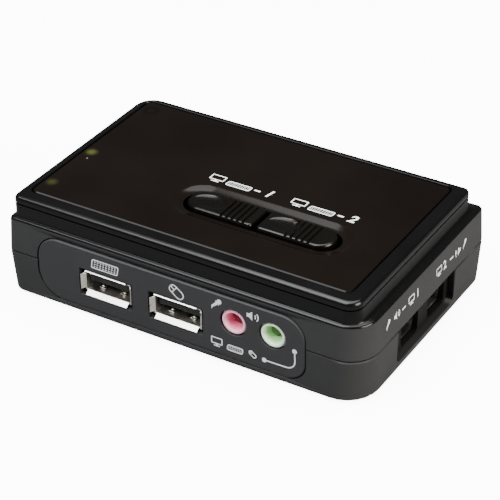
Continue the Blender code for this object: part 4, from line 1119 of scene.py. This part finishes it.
class KVM_OT_stage(bpy.types.Operator):
    """Pale floor, soft lights and the camera"""

    bl_idname = "kvm.stage"
    bl_label = "Stage"

    # name, place, target, side in metres, watts, tint
    LIGHTS = (
        ("key_softbox", (-0.25, -0.55, 1.05), (0.0, 0.0, 0.0), 0.9, 30.0, (0.96, 0.98, 1.0)),
        ("right_softbox", (1.15, -0.05, 0.45), (0.05, 0.0, 0.0), 0.7, 30.0, (1.0, 0.95, 0.86)),
        ("top_softbox", (0.0, 0.15, 1.3), (0.0, 0.0, 0.0), 1.3, 40.0, (1.0, 1.0, 1.0)),
    )
    CAMERA_TARGET = Vector((-6.53, 11.39, 1.33)) * MM
    CAMERA_ROLL = radians(-0.33)
    ROOM_TINT = (0.93, 0.96, 1.0)

    def execute(self, context):
        look = context.scene.kvm_stage
        self.add_floor(look)
        self.add_world(context, look)
        for light in self.LIGHTS:
            self.add_light(*light)
        self.add_camera(context, look)
        return {"FINISHED"}

    def add_floor(self, look):
        bm = bmesh.new()
        bmesh.ops.create_grid(bm, x_segments=2, y_segments=2, size=look.floor_side / 2)
        mesh = bpy.data.meshes.new("floor")
        bm.to_mesh(mesh)
        bm.free()
        floor = bpy.data.objects.new("floor", mesh)
        bpy.context.scene.collection.objects.link(floor)
        white = look.floor_colour
        skin = Skin(
            "floor_white", white, 0.9, 0.01, 0.4,
            Specular_IOR_Level=0.0, Emission_Strength=look.floor_lift,
        )
        camera_ray = put(skin.tree, "ShaderNodeLightPath").outputs["Is Camera Ray"]
        bounce = shaded(white, look.floor_bounce)
        calm = mix_colours(skin.tree, camera_ray, bounce, skin.shades(0.995, 1.005))
        skin.give("Base Color", calm)
        skin.give("Emission Color", mix_colours(skin.tree, camera_ray, BLACK, WHITE))
        mesh.materials.append(skin.material)

    def add_world(self, context, look):
        """A dim room, with the same lifted paper behind the set for the camera alone."""
        world = bpy.data.worlds.new("studio")
        world.use_nodes = True
        tree = world.node_tree
        room = tree.nodes["Background"]
        feed(tree, room.inputs["Color"], self.ROOM_TINT)
        feed(tree, room.inputs["Strength"], look.room_light)
        paper = put(
            tree, "ShaderNodeBackground", Color=WHITE, Strength=look.floor_lift
        )
        camera_ray = put(tree, "ShaderNodeLightPath").outputs["Is Camera Ray"]
        either = put(
            tree, "ShaderNodeMixShader", camera_ray, room.outputs[0], paper.outputs[0]
        )
        feed(tree, tree.nodes["World Output"].inputs["Surface"], either.outputs[0])
        context.scene.world = world

    def add_light(self, name, spot, target, side, power, tint):
        light = bpy.data.lights.new(name, "AREA")
        light.shape = "SQUARE"
        light.size = side
        light.energy = power
        light.color = tint
        item = bpy.data.objects.new(name, light)
        item.location = spot
        aim = Vector(target) - Vector(spot)
        item.rotation_euler = aim.to_track_quat("-Z", "Y").to_euler()
        bpy.context.scene.collection.objects.link(item)

    def add_camera(self, context, look):
        azimuth, elevation = look.azimuth, look.elevation
        back = Vector(
            (sin(azimuth) * cos(elevation), -cos(azimuth) * cos(elevation), sin(elevation))
        )
        right = Vector((cos(azimuth), sin(azimuth), 0.0))
        up = right.cross(-back)
        roll = self.CAMERA_ROLL
        level = cos(roll) * right + sin(roll) * up
        rise = -sin(roll) * right + cos(roll) * up
        turn = Matrix((level, rise, back)).transposed().to_4x4()
        turn.translation = self.CAMERA_TARGET + back * look.distance
        data = bpy.data.cameras.new("studio_camera")
        data.sensor_width = 36.0
        data.lens = look.lens
        data.clip_start = 0.01
        data.clip_end = 20.0
        camera = bpy.data.objects.new("studio_camera", data)
        camera.matrix_world = turn
        context.scene.collection.objects.link(camera)
        context.scene.camera = camera


class KVM_PT_panel(bpy.types.Panel):
    """Lists the steps that dress the switch"""

    bl_idname = "KVM_PT_panel"
    bl_label = "KVM Switch"
    bl_space_type = "VIEW_3D"
    bl_region_type = "UI"
    bl_category = "KVM Switch"

    def draw(self, context):
        column = self.layout.column()
        for settings in ("kvm_shell", "kvm_window", "kvm_sockets", "kvm_print", "kvm_stage"):
            group = getattr(context.scene, settings)
            box = column.box()
            for key in group.__annotations__:
                box.prop(group, key)
        for operator in OPERATORS:
            column.operator(operator.bl_idname)


SETTINGS = (
    ("kvm_shell", ShellSettings),
    ("kvm_window", WindowSettings),
    ("kvm_sockets", SocketSettings),
    ("kvm_print", PrintSettings),
    ("kvm_stage", StageSettings),
)
OPERATORS = (
    KVM_OT_shells,
    KVM_OT_cover,
    KVM_OT_keys,
    KVM_OT_usb,
    KVM_OT_jacks,
    KVM_OT_side_sockets,
    KVM_OT_video,
    KVM_OT_small_parts,
    KVM_OT_print,
    KVM_OT_stage,
)


def register():
    for name, group in SETTINGS:
        bpy.utils.register_class(group)
        setattr(bpy.types.Scene, name, PointerProperty(type=group))
    for item in OPERATORS + (KVM_PT_panel,):
        bpy.utils.register_class(item)


def unregister():
    for item in reversed(OPERATORS + (KVM_PT_panel,)):
        bpy.utils.unregister_class(item)
    for name, group in reversed(SETTINGS):
        delattr(bpy.types.Scene, name)
        bpy.utils.unregister_class(group)


def main():
    register()
    for operator in OPERATORS:
        getattr(bpy.ops.kvm, operator.bl_idname.removeprefix("kvm."))()


if __name__ == "__main__":
    main()
